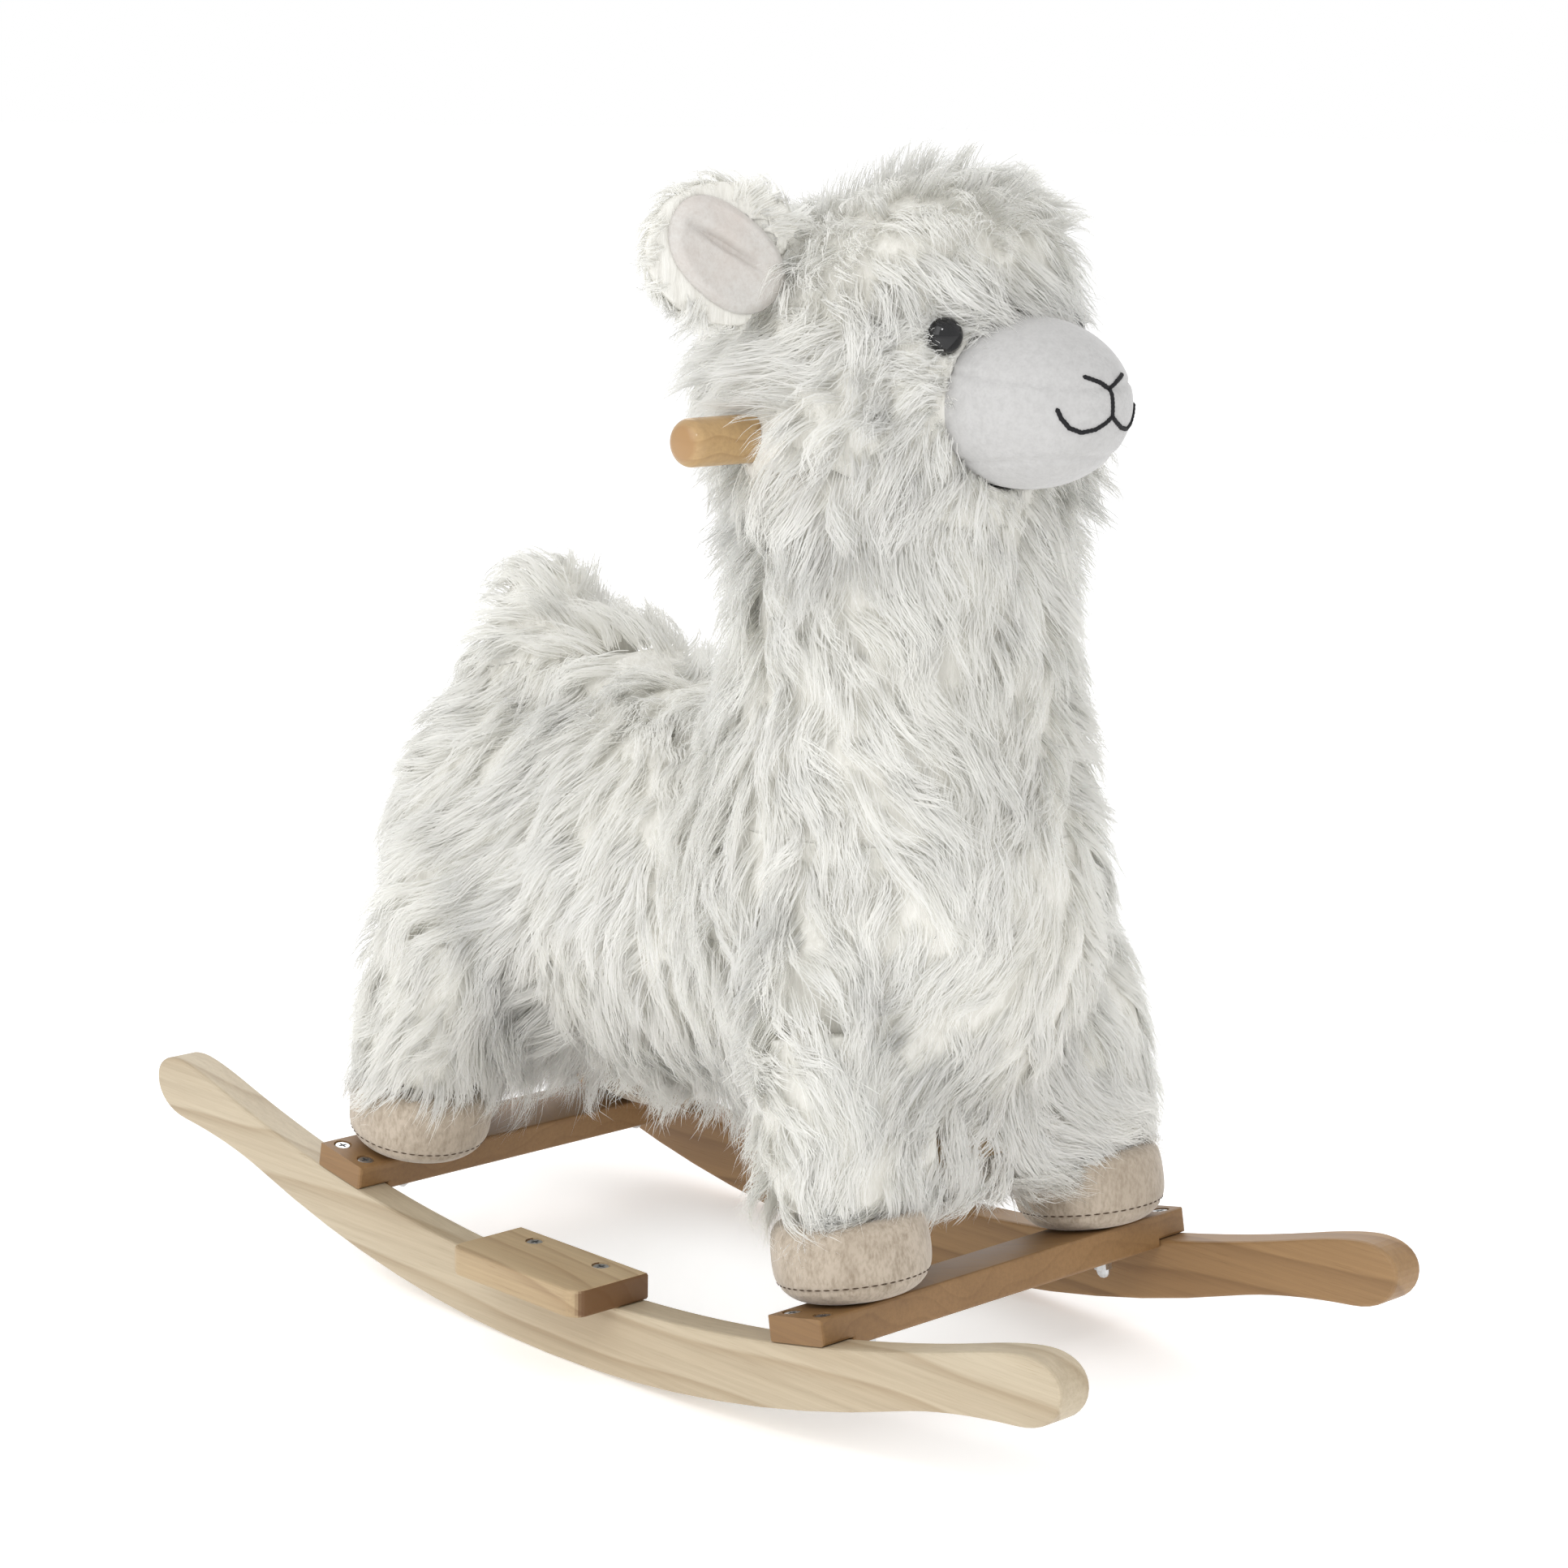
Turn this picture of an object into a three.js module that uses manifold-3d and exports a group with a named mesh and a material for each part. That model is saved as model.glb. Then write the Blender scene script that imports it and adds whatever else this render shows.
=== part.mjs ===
// A plush alpaca rocker for a toddler: two curved wooden rockers, two crossbars, two footrests,
// a wooden frame hidden inside a stuffed animal, and a dowel through its head as a handle.
// Millimetres, +Z up, +X towards the head, origin on the floor under the middle of the toy.
import * as THREE from 'three';
import { mergeVertices } from 'three/addons/utils/BufferGeometryUtils.js';
import Module from 'manifold-3d';

const wasm = await Module();
wasm.setup();

// ---- driving dimensions ----

const GAP = 0.3; // clearance between pieces that touch or sit inside one another
const EDGE = 1.6; // rounding of the sanded wooden edges

const ROCKER_THICK = 21;
const ROCKER_OUTER_Y = 139.3; // from the middle of the toy to a rocker's outer face
const ROCKER_INNER_Y = ROCKER_OUTER_Y - ROCKER_THICK;
const ROCKER_DEPTH = 39.3; // at the middle
const ROCKER_BOTTOM_RADIUS = 846;
const ROCKER_BOTTOM_END_X = 262; // the rolling arc stops here and the toe flattens out
const ROCKER_TOP_RADIUS = 1063;
const ROCKER_TOP_END_X = 300;
// A rocker's front toe as [x, z] control points, from the end of the rolling arc round to the top arc.
const TOE_UNDER = [[295, 52.3], [340, 56.5]];
const TOE_LOWER = [[356, 58], [368, 66], [368, 78]];
const TOE_UPPER = [[368, 87], [360, 92.8], [347, 92.8]];
const TOE_OVER = [334, 92.8];

const BAR_LENGTH = 2 * ROCKER_OUTER_Y;
const BAR_WIDTH = 39;
const BAR_THICK = 18;
const BAR_REBATE = 4.3; // the ends are thinner where they lie on the rockers
const BAR_X = { front: 192.5, rear: -186.2 };
const BAR_SEAT_GAP = 0.5; // lets a flat bar lie in the rocker's hollow top
const BAR_TOP = BAR_THICK - BAR_REBATE; // above the seat plane

const PEDAL_LENGTH = 105;
const PEDAL_X = 5.2;
const PEDAL_OUTER_Y = 169.7;
const PEDAL_THICK = 15.2;
const PEDAL_TOP_Z = 56.1;
const PEDAL_CORNER = 9;

const SCREW_HEAD_RADIUS = 4.7;
const SCREW_RADIUS = 2.1;
const SCREW_RIM = 0.4;
const SCREW_CONE = 3;
const SCREW_SINK = 0.5; // the heads sit a little below the wood
const SCREW_TIP = 5;
const SCREW_CHAMFER = 0.6;
const SCREW_CROSS = [1.2, 5.4, 3.2]; // each slot of the cross recess
const SCREW_HOLE_SPARE = 1.5; // the holes go this far past the screws
const BAR_SCREW_LENGTH = 38;
const PEDAL_SCREW_LENGTH = 36;
const SCREW_Y = 129.5;
const BAR_SCREW_DX = 11;
const PEDAL_SCREW_DX = 27.5;

const HOOF_Y = 91;
const BOLT_RADIUS = 2.9;
const BOLT_DEPTH = 34; // into the leg post
const NUT_ACROSS_FLATS = 8.6;
const NUT_HEX = 7;
const NUT_DOME = 5;
const NUT_DOME_RADIUS = 4;
const NUT_DOME_ROOT = 0.5; // the dome starts this far up inside the hexagon

const POST_SIDE = 26;
const POST_TOP = 118; // above the bar's seat plane
const RAIL_THICK = 18;
const RAIL_HEIGHT = 50;
const SEAT_LENGTH = 370;
const SEAT_WIDTH = 110;
const SEAT_THICK = 18;
const SEAT_Z = 177; // underside
const NECK_POST = { x: 46, y: 22, top: 560 };

const HANDLE_X = 102;
const HANDLE_Z = 500;
const HANDLE_LENGTH = 282;
const HANDLE_RADIUS = 12.3;
const HANDLE_ROUND = 6;

// Hooves and legs stand square to the tilted crossbars. Heights are above the bar's seat plane.
const HOOF_RADIUS = 41;
const HOOF_TOP = 56;
const HOOF_PROFILE = [[0.5, 0], [0.8, 7], [0.96, 18], [1, 28]]; // share of the radius, height over the sole
const HOOF_TOP_SHARE = 0.98;
const LEG_RADIUS = 50;
const LEG_TOP = 150;
const LEG_HEM = { inset: 8, height: 18 }; // the fur draws in towards the hoof
const HOOF_LEAN = { front: -4, rear: 9 }; // the stuffing leans this far towards the middle of the toy

const RUMP = { at: [-145, 0, 235], radii: [127, 112, 122] };
const BELLY = { at: [-25, 0, 245], radii: [195, 108, 122] };
const CHEST = { at: [110, 0, 250], radii: [141, 116, 140] };
const TORSO_FLOOR = 118; // the belly is flat below this height, clear of the hooves
const TAIL = { at: [-158, 0, 350], radii: [47, 48, 62] };
const HEAD = { at: [110, 0, 525], radii: [114, 104, 110] };
const MUZZLE = { at: [203, 0, 521], radii: [57, 48, 45] };
const NECK_X = 120;
const NECK_BOTTOM = { radius: 113, z: 300 };
const NECK_WAIST = { radius: 96, z: 425 };
const NECK_TOP = { radius: 94, z: 520 }; // inside the head

const EAR = { at: [98, 107, 592], radii: [15, 46, 36], turn: 0.3, lift: 0.12 };
const EAR_LINING_SCALE = 0.8;
const EAR_LINING_FRONT = 3; // the lining lies in front of this plane of the ear

const EYE = { at: [191, 47, 555], radius: 9, dome: 6.5, stem: 13, stemRadius: 2.4 };
const EYE_TURN = 0.62; // the eyes look this far out from straight ahead
const EYE_LIFT = 0.1;
const WASHER_RADIUS = 8;
const WASHER_THICK = 1.6;
const WASHER_UP = 5; // from the end of the stem to the washer's outer face

// ---- materials ----

function finish(color, roughness, metalness = 0) {
  return new THREE.MeshStandardMaterial({ color, roughness, metalness });
}

const paleWood = finish('#dfc79b', 0.6);
const brownWood = finish('#a87d4e', 0.6);
const frameWood = finish('#cbb083', 0.8);
const lacqueredWood = finish('#d9ad6d', 0.35);
const steel = finish('#b9bbbd', 0.3, 1);
const fur = finish('#efeee8', 1);
const shortPlush = finish('#f3f2ef', 0.95);
const hoofPlush = finish('#cdbba6', 0.95);
const blackPlastic = finish('#0d0d0f', 0.12);
const whitePlastic = finish('#e8e8e4', 0.5);

// ---- solids ----

function solidOf(geometry) {
  const bare = geometry.clone();
  bare.deleteAttribute('normal');
  bare.deleteAttribute('uv');
  const merged = mergeVertices(bare, 1e-4);
  const vertProperties = new Float32Array(merged.attributes.position.array);
  const triVerts = new Uint32Array(merged.index.array);
  return new wasm.Manifold(new wasm.Mesh({ numProp: 3, vertProperties, triVerts }));
}

function geometryOf(solid) {
  const { vertProperties, triVerts } = solid.getMesh();
  const geometry = new THREE.BufferGeometry();
  geometry.setAttribute('position', new THREE.BufferAttribute(vertProperties, 3));
  geometry.setIndex(new THREE.BufferAttribute(triVerts, 1));
  geometry.computeVertexNormals();
  return geometry;
}

function cut(solid, ...tools) {
  return tools.reduce((rest, tool) => rest.subtract(tool), solid);
}

function join(first, ...others) {
  return others.reduce((whole, other) => whole.add(other), first);
}

function placed(geometry, position, rotation = [0, 0, 0]) {
  const frame = new THREE.Object3D();
  frame.position.set(...position);
  frame.rotation.set(...rotation);
  frame.updateMatrix();
  return geometry.applyMatrix4(frame.matrix);
}

function box(size, centre, grow = 0) {
  const [x, y, z] = size.map((side) => side + 2 * grow);
  return placed(new THREE.BoxGeometry(x, y, z), centre);
}

// A cylinder that stands along Z between two heights.
function pin(radius, x, y, low, high, sides = 16) {
  const cylinder = new THREE.CylinderGeometry(radius, radius, high - low, sides);
  return cylinder.rotateX(Math.PI / 2).translate(x, y, (low + high) / 2);
}

function ellipsoid({ at, radii }, grow = 0, rings = 12) {
  const ball = new THREE.SphereGeometry(1, Math.round(rings * 1.5), rings).rotateX(Math.PI / 2);
  ball.scale(...radii.map((radius) => radius + grow));
  return ball.translate(...at);
}

// A turned shape about Z from [radius, height] points, starting and ending on the axis.
function turned(profile, sides = 24) {
  const points = profile.map(([radius, height]) => new THREE.Vector2(radius, height));
  return new THREE.LatheGeometry(points, sides).rotateX(Math.PI / 2);
}

// A board cut from an outline, with sanded edges. The outline's plane is XY and its thickness Z.
function board(shape, thick, curveSegments = 4, edge = EDGE) {
  const bevel = { bevelThickness: edge, bevelSize: edge, bevelOffset: -edge, bevelSegments: 2 };
  const geometry = new THREE.ExtrudeGeometry(shape, { depth: thick - 2 * edge, curveSegments, ...bevel });
  return geometry.translate(0, 0, edge - thick / 2);
}

function mesh(name, geometry, material) {
  const piece = new THREE.Mesh(geometry, material);
  piece.name = name;
  return piece;
}

// ---- shared places ----

const ENDS = ['front', 'rear'];
const SIDES = { right: -1, left: 1 };

const topOfRocker = (x) => ROCKER_DEPTH + ROCKER_TOP_RADIUS - Math.sqrt(ROCKER_TOP_RADIUS ** 2 - x ** 2);

// A crossbar's frame: its origin is the middle of the bar's seat plane, and +Z is square to the bar.
function barFrame(end) {
  const frame = new THREE.Group();
  const tilt = Math.asin(BAR_X[end] / ROCKER_TOP_RADIUS);
  frame.rotation.y = -tilt;
  frame.position.set(BAR_X[end], 0, topOfRocker(BAR_X[end]));
  frame.translateZ(BAR_SEAT_GAP);
  frame.updateMatrix();
  return frame;
}

const BAR_FRAME = { front: barFrame('front'), rear: barFrame('rear') };
const inBar = (end, geometry) => geometry.applyMatrix4(BAR_FRAME[end].matrix);

// ---- rockers ----

function rockerOutline() {
  const bottomSweep = Math.asin(ROCKER_BOTTOM_END_X / ROCKER_BOTTOM_RADIUS);
  const bottomEnd = ROCKER_BOTTOM_RADIUS * (1 - Math.cos(bottomSweep));
  const topCentre = ROCKER_DEPTH + ROCKER_TOP_RADIUS;
  const notchFront = PEDAL_X + PEDAL_LENGTH / 2 + GAP;
  const notchRear = PEDAL_X - PEDAL_LENGTH / 2 - GAP;
  const notchZ = PEDAL_TOP_Z - PEDAL_THICK - GAP;
  const down = -Math.PI / 2;
  const topAngle = (x) => down + Math.asin(x / ROCKER_TOP_RADIUS);
  const rear = ([x, z]) => [-x, z];
  const topEnd = [ROCKER_TOP_END_X, topOfRocker(ROCKER_TOP_END_X)];
  const outline = new THREE.Shape();
  const arc = [0, ROCKER_BOTTOM_RADIUS, ROCKER_BOTTOM_RADIUS];
  outline.absarc(...arc, down - bottomSweep, down + bottomSweep, false);
  outline.quadraticCurveTo(...TOE_UNDER.flat());
  outline.bezierCurveTo(...TOE_LOWER.flat());
  outline.bezierCurveTo(...TOE_UPPER.flat());
  outline.quadraticCurveTo(...TOE_OVER, ...topEnd);
  outline.absarc(0, topCentre, ROCKER_TOP_RADIUS, topAngle(ROCKER_TOP_END_X), topAngle(notchFront), true);
  outline.lineTo(notchFront, notchZ);
  outline.lineTo(notchRear, notchZ);
  outline.absarc(0, topCentre, ROCKER_TOP_RADIUS, topAngle(notchRear), topAngle(-ROCKER_TOP_END_X), true);
  outline.quadraticCurveTo(...rear(TOE_OVER), ...rear(TOE_UPPER[2]));
  outline.bezierCurveTo(...rear(TOE_UPPER[1]), ...rear(TOE_UPPER[0]), ...rear(TOE_LOWER[2]));
  outline.bezierCurveTo(...rear(TOE_LOWER[1]), ...rear(TOE_LOWER[0]), ...rear(TOE_UNDER[1]));
  outline.quadraticCurveTo(...rear(TOE_UNDER[0]), -ROCKER_BOTTOM_END_X, bottomEnd);
  return outline;
}

function screwHoles(side) {
  const y = side * SCREW_Y;
  const holes = [];
  for (const end of ENDS) {
    for (const dx of [-BAR_SCREW_DX, BAR_SCREW_DX]) {
      const low = BAR_TOP - BAR_SCREW_LENGTH - SCREW_HOLE_SPARE;
      holes.push(inBar(end, pin(SCREW_RADIUS + GAP, dx, y, low, BAR_TOP, 10)));
    }
  }
  for (const dx of [-PEDAL_SCREW_DX, PEDAL_SCREW_DX]) {
    const low = PEDAL_TOP_Z - PEDAL_SCREW_LENGTH - SCREW_HOLE_SPARE;
    holes.push(pin(SCREW_RADIUS + GAP, PEDAL_X + dx, y, low, PEDAL_TOP_Z, 10));
  }
  return holes.map(solidOf);
}

function rocker(side) {
  const plank = board(rockerOutline(), ROCKER_THICK, 8).rotateX(Math.PI / 2);
  plank.translate(0, side * (ROCKER_OUTER_Y - ROCKER_THICK / 2), 0);
  return geometryOf(cut(solidOf(plank), ...screwHoles(side)));
}

// ---- crossbars, footrests and their screws ----

function screwHole(x, y, top, length) {
  const head = SCREW_HEAD_RADIUS + 2 * GAP;
  const shank = SCREW_RADIUS + GAP;
  const floor = top - SCREW_SINK;
  const bottom = floor - length;
  const above = top + 1;
  const profile = [[0, bottom], [shank, bottom], [shank, floor - SCREW_CONE - GAP]];
  profile.push([head, floor - SCREW_RIM], [head, above], [0, above]);
  return solidOf(turned(profile, 12).translate(x, y, 0));
}

function screw(length) {
  const profile = [[0, -length], [SCREW_RADIUS, SCREW_TIP - length], [SCREW_RADIUS, -SCREW_CONE]];
  profile.push([SCREW_HEAD_RADIUS, -SCREW_RIM], [SCREW_HEAD_RADIUS - SCREW_CHAMFER, 0], [0, 0]);
  const cross = [box(SCREW_CROSS, [0, 0, 0]), box(SCREW_CROSS, [0, 0, 0]).rotateZ(Math.PI / 2)];
  return geometryOf(cut(solidOf(turned(profile, 12)), ...cross.map(solidOf)));
}

// The bar is full thickness between the rockers and steps up over them.
function crossbar() {
  const half = BAR_LENGTH / 2;
  const shoulder = ROCKER_INNER_Y - GAP;
  const outline = new THREE.Shape();
  outline.moveTo(-half, 0);
  outline.lineTo(-shoulder, 0);
  outline.lineTo(-shoulder, -BAR_REBATE);
  outline.lineTo(shoulder, -BAR_REBATE);
  outline.lineTo(shoulder, 0);
  outline.lineTo(half, 0);
  outline.lineTo(half, BAR_TOP);
  outline.lineTo(-half, BAR_TOP);
  const plank = board(outline, BAR_WIDTH).rotateX(Math.PI / 2).rotateZ(Math.PI / 2);
  const holes = [];
  for (const side of [-1, 1]) {
    for (const dx of [-BAR_SCREW_DX, BAR_SCREW_DX]) {
      holes.push(screwHole(dx, side * SCREW_Y, BAR_TOP, BAR_SCREW_LENGTH));
    }
    holes.push(solidOf(pin(BOLT_RADIUS + GAP, 0, side * HOOF_Y, -BAR_THICK, BAR_THICK, 12)));
  }
  return geometryOf(cut(solidOf(plank), ...holes));
}

function pedalOutline() {
  const half = PEDAL_LENGTH / 2;
  const depth = PEDAL_OUTER_Y - ROCKER_INNER_Y;
  const outline = new THREE.Shape();
  outline.moveTo(-half, 0);
  outline.lineTo(half, 0);
  outline.lineTo(half, depth - PEDAL_CORNER);
  outline.absarc(half - PEDAL_CORNER, depth - PEDAL_CORNER, PEDAL_CORNER, 0, Math.PI / 2, false);
  outline.absarc(PEDAL_CORNER - half, depth - PEDAL_CORNER, PEDAL_CORNER, Math.PI / 2, Math.PI, false);
  return outline;
}

// The footrest's frame has its origin on the rocker's inner face, on the footrest's top.
function pedal() {
  const plank = board(pedalOutline(), PEDAL_THICK).translate(0, 0, -PEDAL_THICK / 2);
  const holeAt = (dx) => screwHole(dx, SCREW_Y - ROCKER_INNER_Y, 0, PEDAL_SCREW_LENGTH);
  return geometryOf(cut(solidOf(plank), holeAt(-PEDAL_SCREW_DX), holeAt(PEDAL_SCREW_DX)));
}

function bolt() {
  return pin(BOLT_RADIUS, 0, 0, -BAR_REBATE - NUT_HEX, BAR_TOP + BOLT_DEPTH, 12);
}

// An acorn nut hangs under the bar with its blind thread facing up.
function nut() {
  const radius = NUT_ACROSS_FLATS / 2 / Math.cos(Math.PI / 6);
  const hexagon = solidOf(pin(radius, 0, 0, -NUT_HEX, 0, 6));
  const dome = [];
  const steps = 3;
  for (let step = 0; step <= steps; step += 1) {
    const angle = (step / steps) * (Math.PI / 2);
    dome.push([NUT_DOME_RADIUS * Math.sin(angle), -NUT_HEX - NUT_DOME * Math.cos(angle)]);
  }
  dome.push([NUT_DOME_RADIUS, NUT_DOME_ROOT - NUT_HEX], [0, NUT_DOME_ROOT - NUT_HEX]);
  const thread = pin(BOLT_RADIUS + GAP, 0, 0, -NUT_HEX - 1, 1, 12);
  return geometryOf(cut(join(hexagon, solidOf(turned(dome, 12))), solidOf(thread)));
}

// ---- the hidden wooden frame ----

function legPost(end, y, grow = 0) {
  const height = POST_TOP - BAR_TOP - GAP;
  return inBar(end, box([POST_SIDE, POST_SIDE, height], [0, y, BAR_TOP + GAP + height / 2], grow));
}

function rail(end, grow = 0) {
  const length = 2 * (HOOF_Y - POST_SIDE / 2 - GAP);
  return inBar(end, box([RAIL_THICK, length, RAIL_HEIGHT], [0, 0, POST_TOP - RAIL_HEIGHT / 2], grow));
}

function seatBoard(grow = 0) {
  const middle = (BAR_X.front + BAR_X.rear) / 2;
  return box([SEAT_LENGTH, SEAT_WIDTH, SEAT_THICK], [middle, 0, SEAT_Z + SEAT_THICK / 2], grow);
}

function neckPost(grow = 0) {
  const low = SEAT_Z + SEAT_THICK + GAP;
  return box([NECK_POST.x, NECK_POST.y, NECK_POST.top - low], [HANDLE_X, 0, (NECK_POST.top + low) / 2], grow);
}

function handle(grow = 0) {
  const radius = HANDLE_RADIUS + grow;
  const half = HANDLE_LENGTH / 2 + grow;
  const profile = [[0, -half]];
  const steps = 4;
  for (let step = 1; step <= steps; step += 1) {
    const angle = (step / steps) * (Math.PI / 2);
    const inset = HANDLE_ROUND * (1 - Math.sin(angle));
    profile.push([radius - inset, HANDLE_ROUND * (1 - Math.cos(angle)) - half]);
  }
  const mirrored = profile.map(([r, z]) => [r, -z]).reverse();
  const rod = turned([...profile, ...mirrored], 20).rotateX(Math.PI / 2);
  return rod.translate(HANDLE_X, 0, HANDLE_Z);
}

const woodInside = [seatBoard(GAP), neckPost(GAP), handle(GAP)];
for (const end of ENDS) {
  woodInside.push(rail(end, GAP), legPost(end, HOOF_Y, GAP), legPost(end, -HOOF_Y, GAP));
}
const hollow = join(...woodInside.map(solidOf));

// ---- the stuffed animal ----

function torsoSolid(grow = 0) {
  const bulges = join(...[BELLY, RUMP, CHEST].map((bulge) => solidOf(ellipsoid(bulge, grow))));
  const below = box([1000, 1000, 100], [0, 0, TORSO_FLOOR - grow - 50]); // reaches past the torso all round
  return cut(bulges, solidOf(below));
}

function neckSolid(grow = 0) {
  const profile = [[0, NECK_BOTTOM.z - grow], [NECK_BOTTOM.radius + grow, NECK_BOTTOM.z - grow]];
  profile.push([NECK_WAIST.radius + grow, NECK_WAIST.z], [NECK_TOP.radius + grow, NECK_TOP.z]);
  profile.push([0, NECK_TOP.z]);
  return solidOf(turned(profile, 20).translate(NECK_X, 0, 0));
}

function headSolid(grow = 0) {
  return solidOf(ellipsoid(HEAD, grow));
}

function muzzleSolid(grow = 0) {
  return solidOf(ellipsoid(MUZZLE, grow));
}

// The ear's frame: Y runs from the head to the tip, and +X faces forward.
function earPlace(geometry, side) {
  const [x, y, z] = EAR.at;
  return placed(geometry, [x, side * y, z], [side * EAR.lift, 0, side * EAR.turn]);
}

function earSolid(side) {
  return solidOf(earPlace(ellipsoid({ at: [0, 0, 0], radii: EAR.radii }, 0, 10), side));
}

// The hollow of the ear's front that its short-pile lining fills.
function liningSolid(side, grow = 0) {
  const [thick, long, tall] = EAR.radii;
  const radii = [thick, long * EAR_LINING_SCALE, tall * EAR_LINING_SCALE];
  const oval = ellipsoid({ at: [0, 0, 0], radii }, grow, 10);
  const front = box([thick * 2, long * 2, tall * 2], [EAR_LINING_FRONT - grow + thick, 0, 0]);
  return solidOf(earPlace(oval, side)).intersect(solidOf(earPlace(front, side)));
}

function ear(side) {
  return geometryOf(cut(earSolid(side), liningSolid(side, GAP), headSolid(GAP)));
}

function earLining(side) {
  return geometryOf(cut(liningSolid(side), headSolid(GAP)));
}

// An eye's frame: +Z looks out of the head.
function eyePlace(geometry, side) {
  const [x, y, z] = EYE.at;
  return geometry.rotateY(Math.PI / 2 - EYE_LIFT).rotateZ(side * EYE_TURN).translate(x, side * y, z);
}

function eye(side) {
  const profile = [[0, -EYE.stem], [EYE.stemRadius, -EYE.stem], [EYE.stemRadius, 0]];
  const steps = 5;
  for (let step = 0; step <= steps; step += 1) {
    const angle = (step / steps) * (Math.PI / 2);
    profile.push([EYE.radius * Math.cos(angle), EYE.dome * Math.sin(angle)]);
  }
  profile[profile.length - 1][0] = 0;
  return eyePlace(turned(profile, 16), side);
}

function washer(side) {
  const inner = EYE.stemRadius + GAP;
  const top = WASHER_UP - EYE.stem;
  const low = top - WASHER_THICK;
  const profile = [[inner, low], [WASHER_RADIUS, low], [WASHER_RADIUS, top], [inner, top], [inner, low]];
  return eyePlace(turned(profile, 12), side);
}

// Room for the eye, its stem and washer, and the fur that is shaved away in front of it.
function eyeSocket(side) {
  const outward = 40;
  return solidOf(eyePlace(pin(EYE.radius + 1, 0, 0, -EYE.stem - GAP, outward, 12), side));
}

function head() {
  return geometryOf(cut(headSolid(), muzzleSolid(GAP), hollow, eyeSocket(-1), eyeSocket(1)));
}

function muzzle() {
  return geometryOf(cut(muzzleSolid(), hollow, eyeSocket(-1), eyeSocket(1)));
}

function legSolid(end, side) {
  const bottom = HOOF_TOP + GAP;
  const profile = [[0, bottom], [LEG_RADIUS - LEG_HEM.inset, bottom], [LEG_RADIUS, bottom + LEG_HEM.height]];
  profile.push([LEG_RADIUS, LEG_TOP], [0, LEG_TOP]);
  return solidOf(inBar(end, turned(profile, 20).translate(HOOF_LEAN[end], side * HOOF_Y, 0)));
}

function hoofSolid(end, side) {
  const low = BAR_TOP + GAP;
  const profile = HOOF_PROFILE.map(([share, height]) => [HOOF_RADIUS * share, low + height]);
  profile.unshift([0, low]);
  profile.push([HOOF_RADIUS * HOOF_TOP_SHARE, HOOF_TOP], [0, HOOF_TOP]);
  return solidOf(inBar(end, turned(profile, 20).translate(HOOF_LEAN[end], side * HOOF_Y, 0)));
}

// ---- the assembly ----

const rocking = new THREE.Group();

for (const [name, side] of Object.entries(SIDES)) {
  rocking.add(mesh(`${name}_rocker`, rocker(side), paleWood));
  const step = new THREE.Group();
  step.position.set(PEDAL_X, side * ROCKER_INNER_Y, PEDAL_TOP_Z);
  step.rotation.z = side > 0 ? 0 : Math.PI;
  step.add(mesh(`${name}_footrest`, pedal(), paleWood));
  for (const [place, dx] of [['a', -PEDAL_SCREW_DX], ['b', PEDAL_SCREW_DX]]) {
    const fixing = mesh(`${name}_footrest_screw_${place}`, screw(PEDAL_SCREW_LENGTH), steel);
    fixing.position.set(dx, SCREW_Y - ROCKER_INNER_Y, -SCREW_SINK);
    step.add(fixing);
  }
  rocking.add(step);
}

for (const end of ENDS) {
  const frame = BAR_FRAME[end];
  frame.add(mesh(`${end}_crossbar`, crossbar(), brownWood));
  for (const [name, side] of Object.entries(SIDES)) {
    for (const [place, dx] of [['a', -BAR_SCREW_DX], ['b', BAR_SCREW_DX]]) {
      const fixing = mesh(`${end}_${name}_bar_screw_${place}`, screw(BAR_SCREW_LENGTH), steel);
      fixing.position.set(dx, side * SCREW_Y, BAR_TOP - SCREW_SINK);
      frame.add(fixing);
    }
    const stud = mesh(`${end}_${name}_leg_bolt`, bolt(), steel);
    stud.position.y = side * HOOF_Y;
    const cap = mesh(`${end}_${name}_cap_nut`, nut(), steel);
    cap.position.set(0, side * HOOF_Y, -BAR_REBATE - GAP);
    frame.add(stud, cap);
  }
  rocking.add(frame);
}

const animal = new THREE.Group();
animal.add(mesh('seat_board', seatBoard(), frameWood));
const dowelHole = solidOf(handle(GAP));
animal.add(mesh('neck_post', geometryOf(cut(solidOf(neckPost()), dowelHole)), frameWood));
animal.add(mesh('handle', handle(), lacqueredWood));

const grownTorso = torsoSolid(GAP);
animal.add(mesh('torso', geometryOf(cut(torsoSolid(), neckSolid(GAP), hollow)), fur));
animal.add(mesh('tail', geometryOf(cut(solidOf(ellipsoid(TAIL)), grownTorso)), fur));
animal.add(mesh('neck', geometryOf(cut(neckSolid(), headSolid(GAP), muzzleSolid(GAP), hollow)), fur));
animal.add(mesh('head', head(), fur));
animal.add(mesh('muzzle', muzzle(), shortPlush));

for (const end of ENDS) {
  animal.add(mesh(`${end}_frame_rail`, rail(end), frameWood));
}

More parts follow.
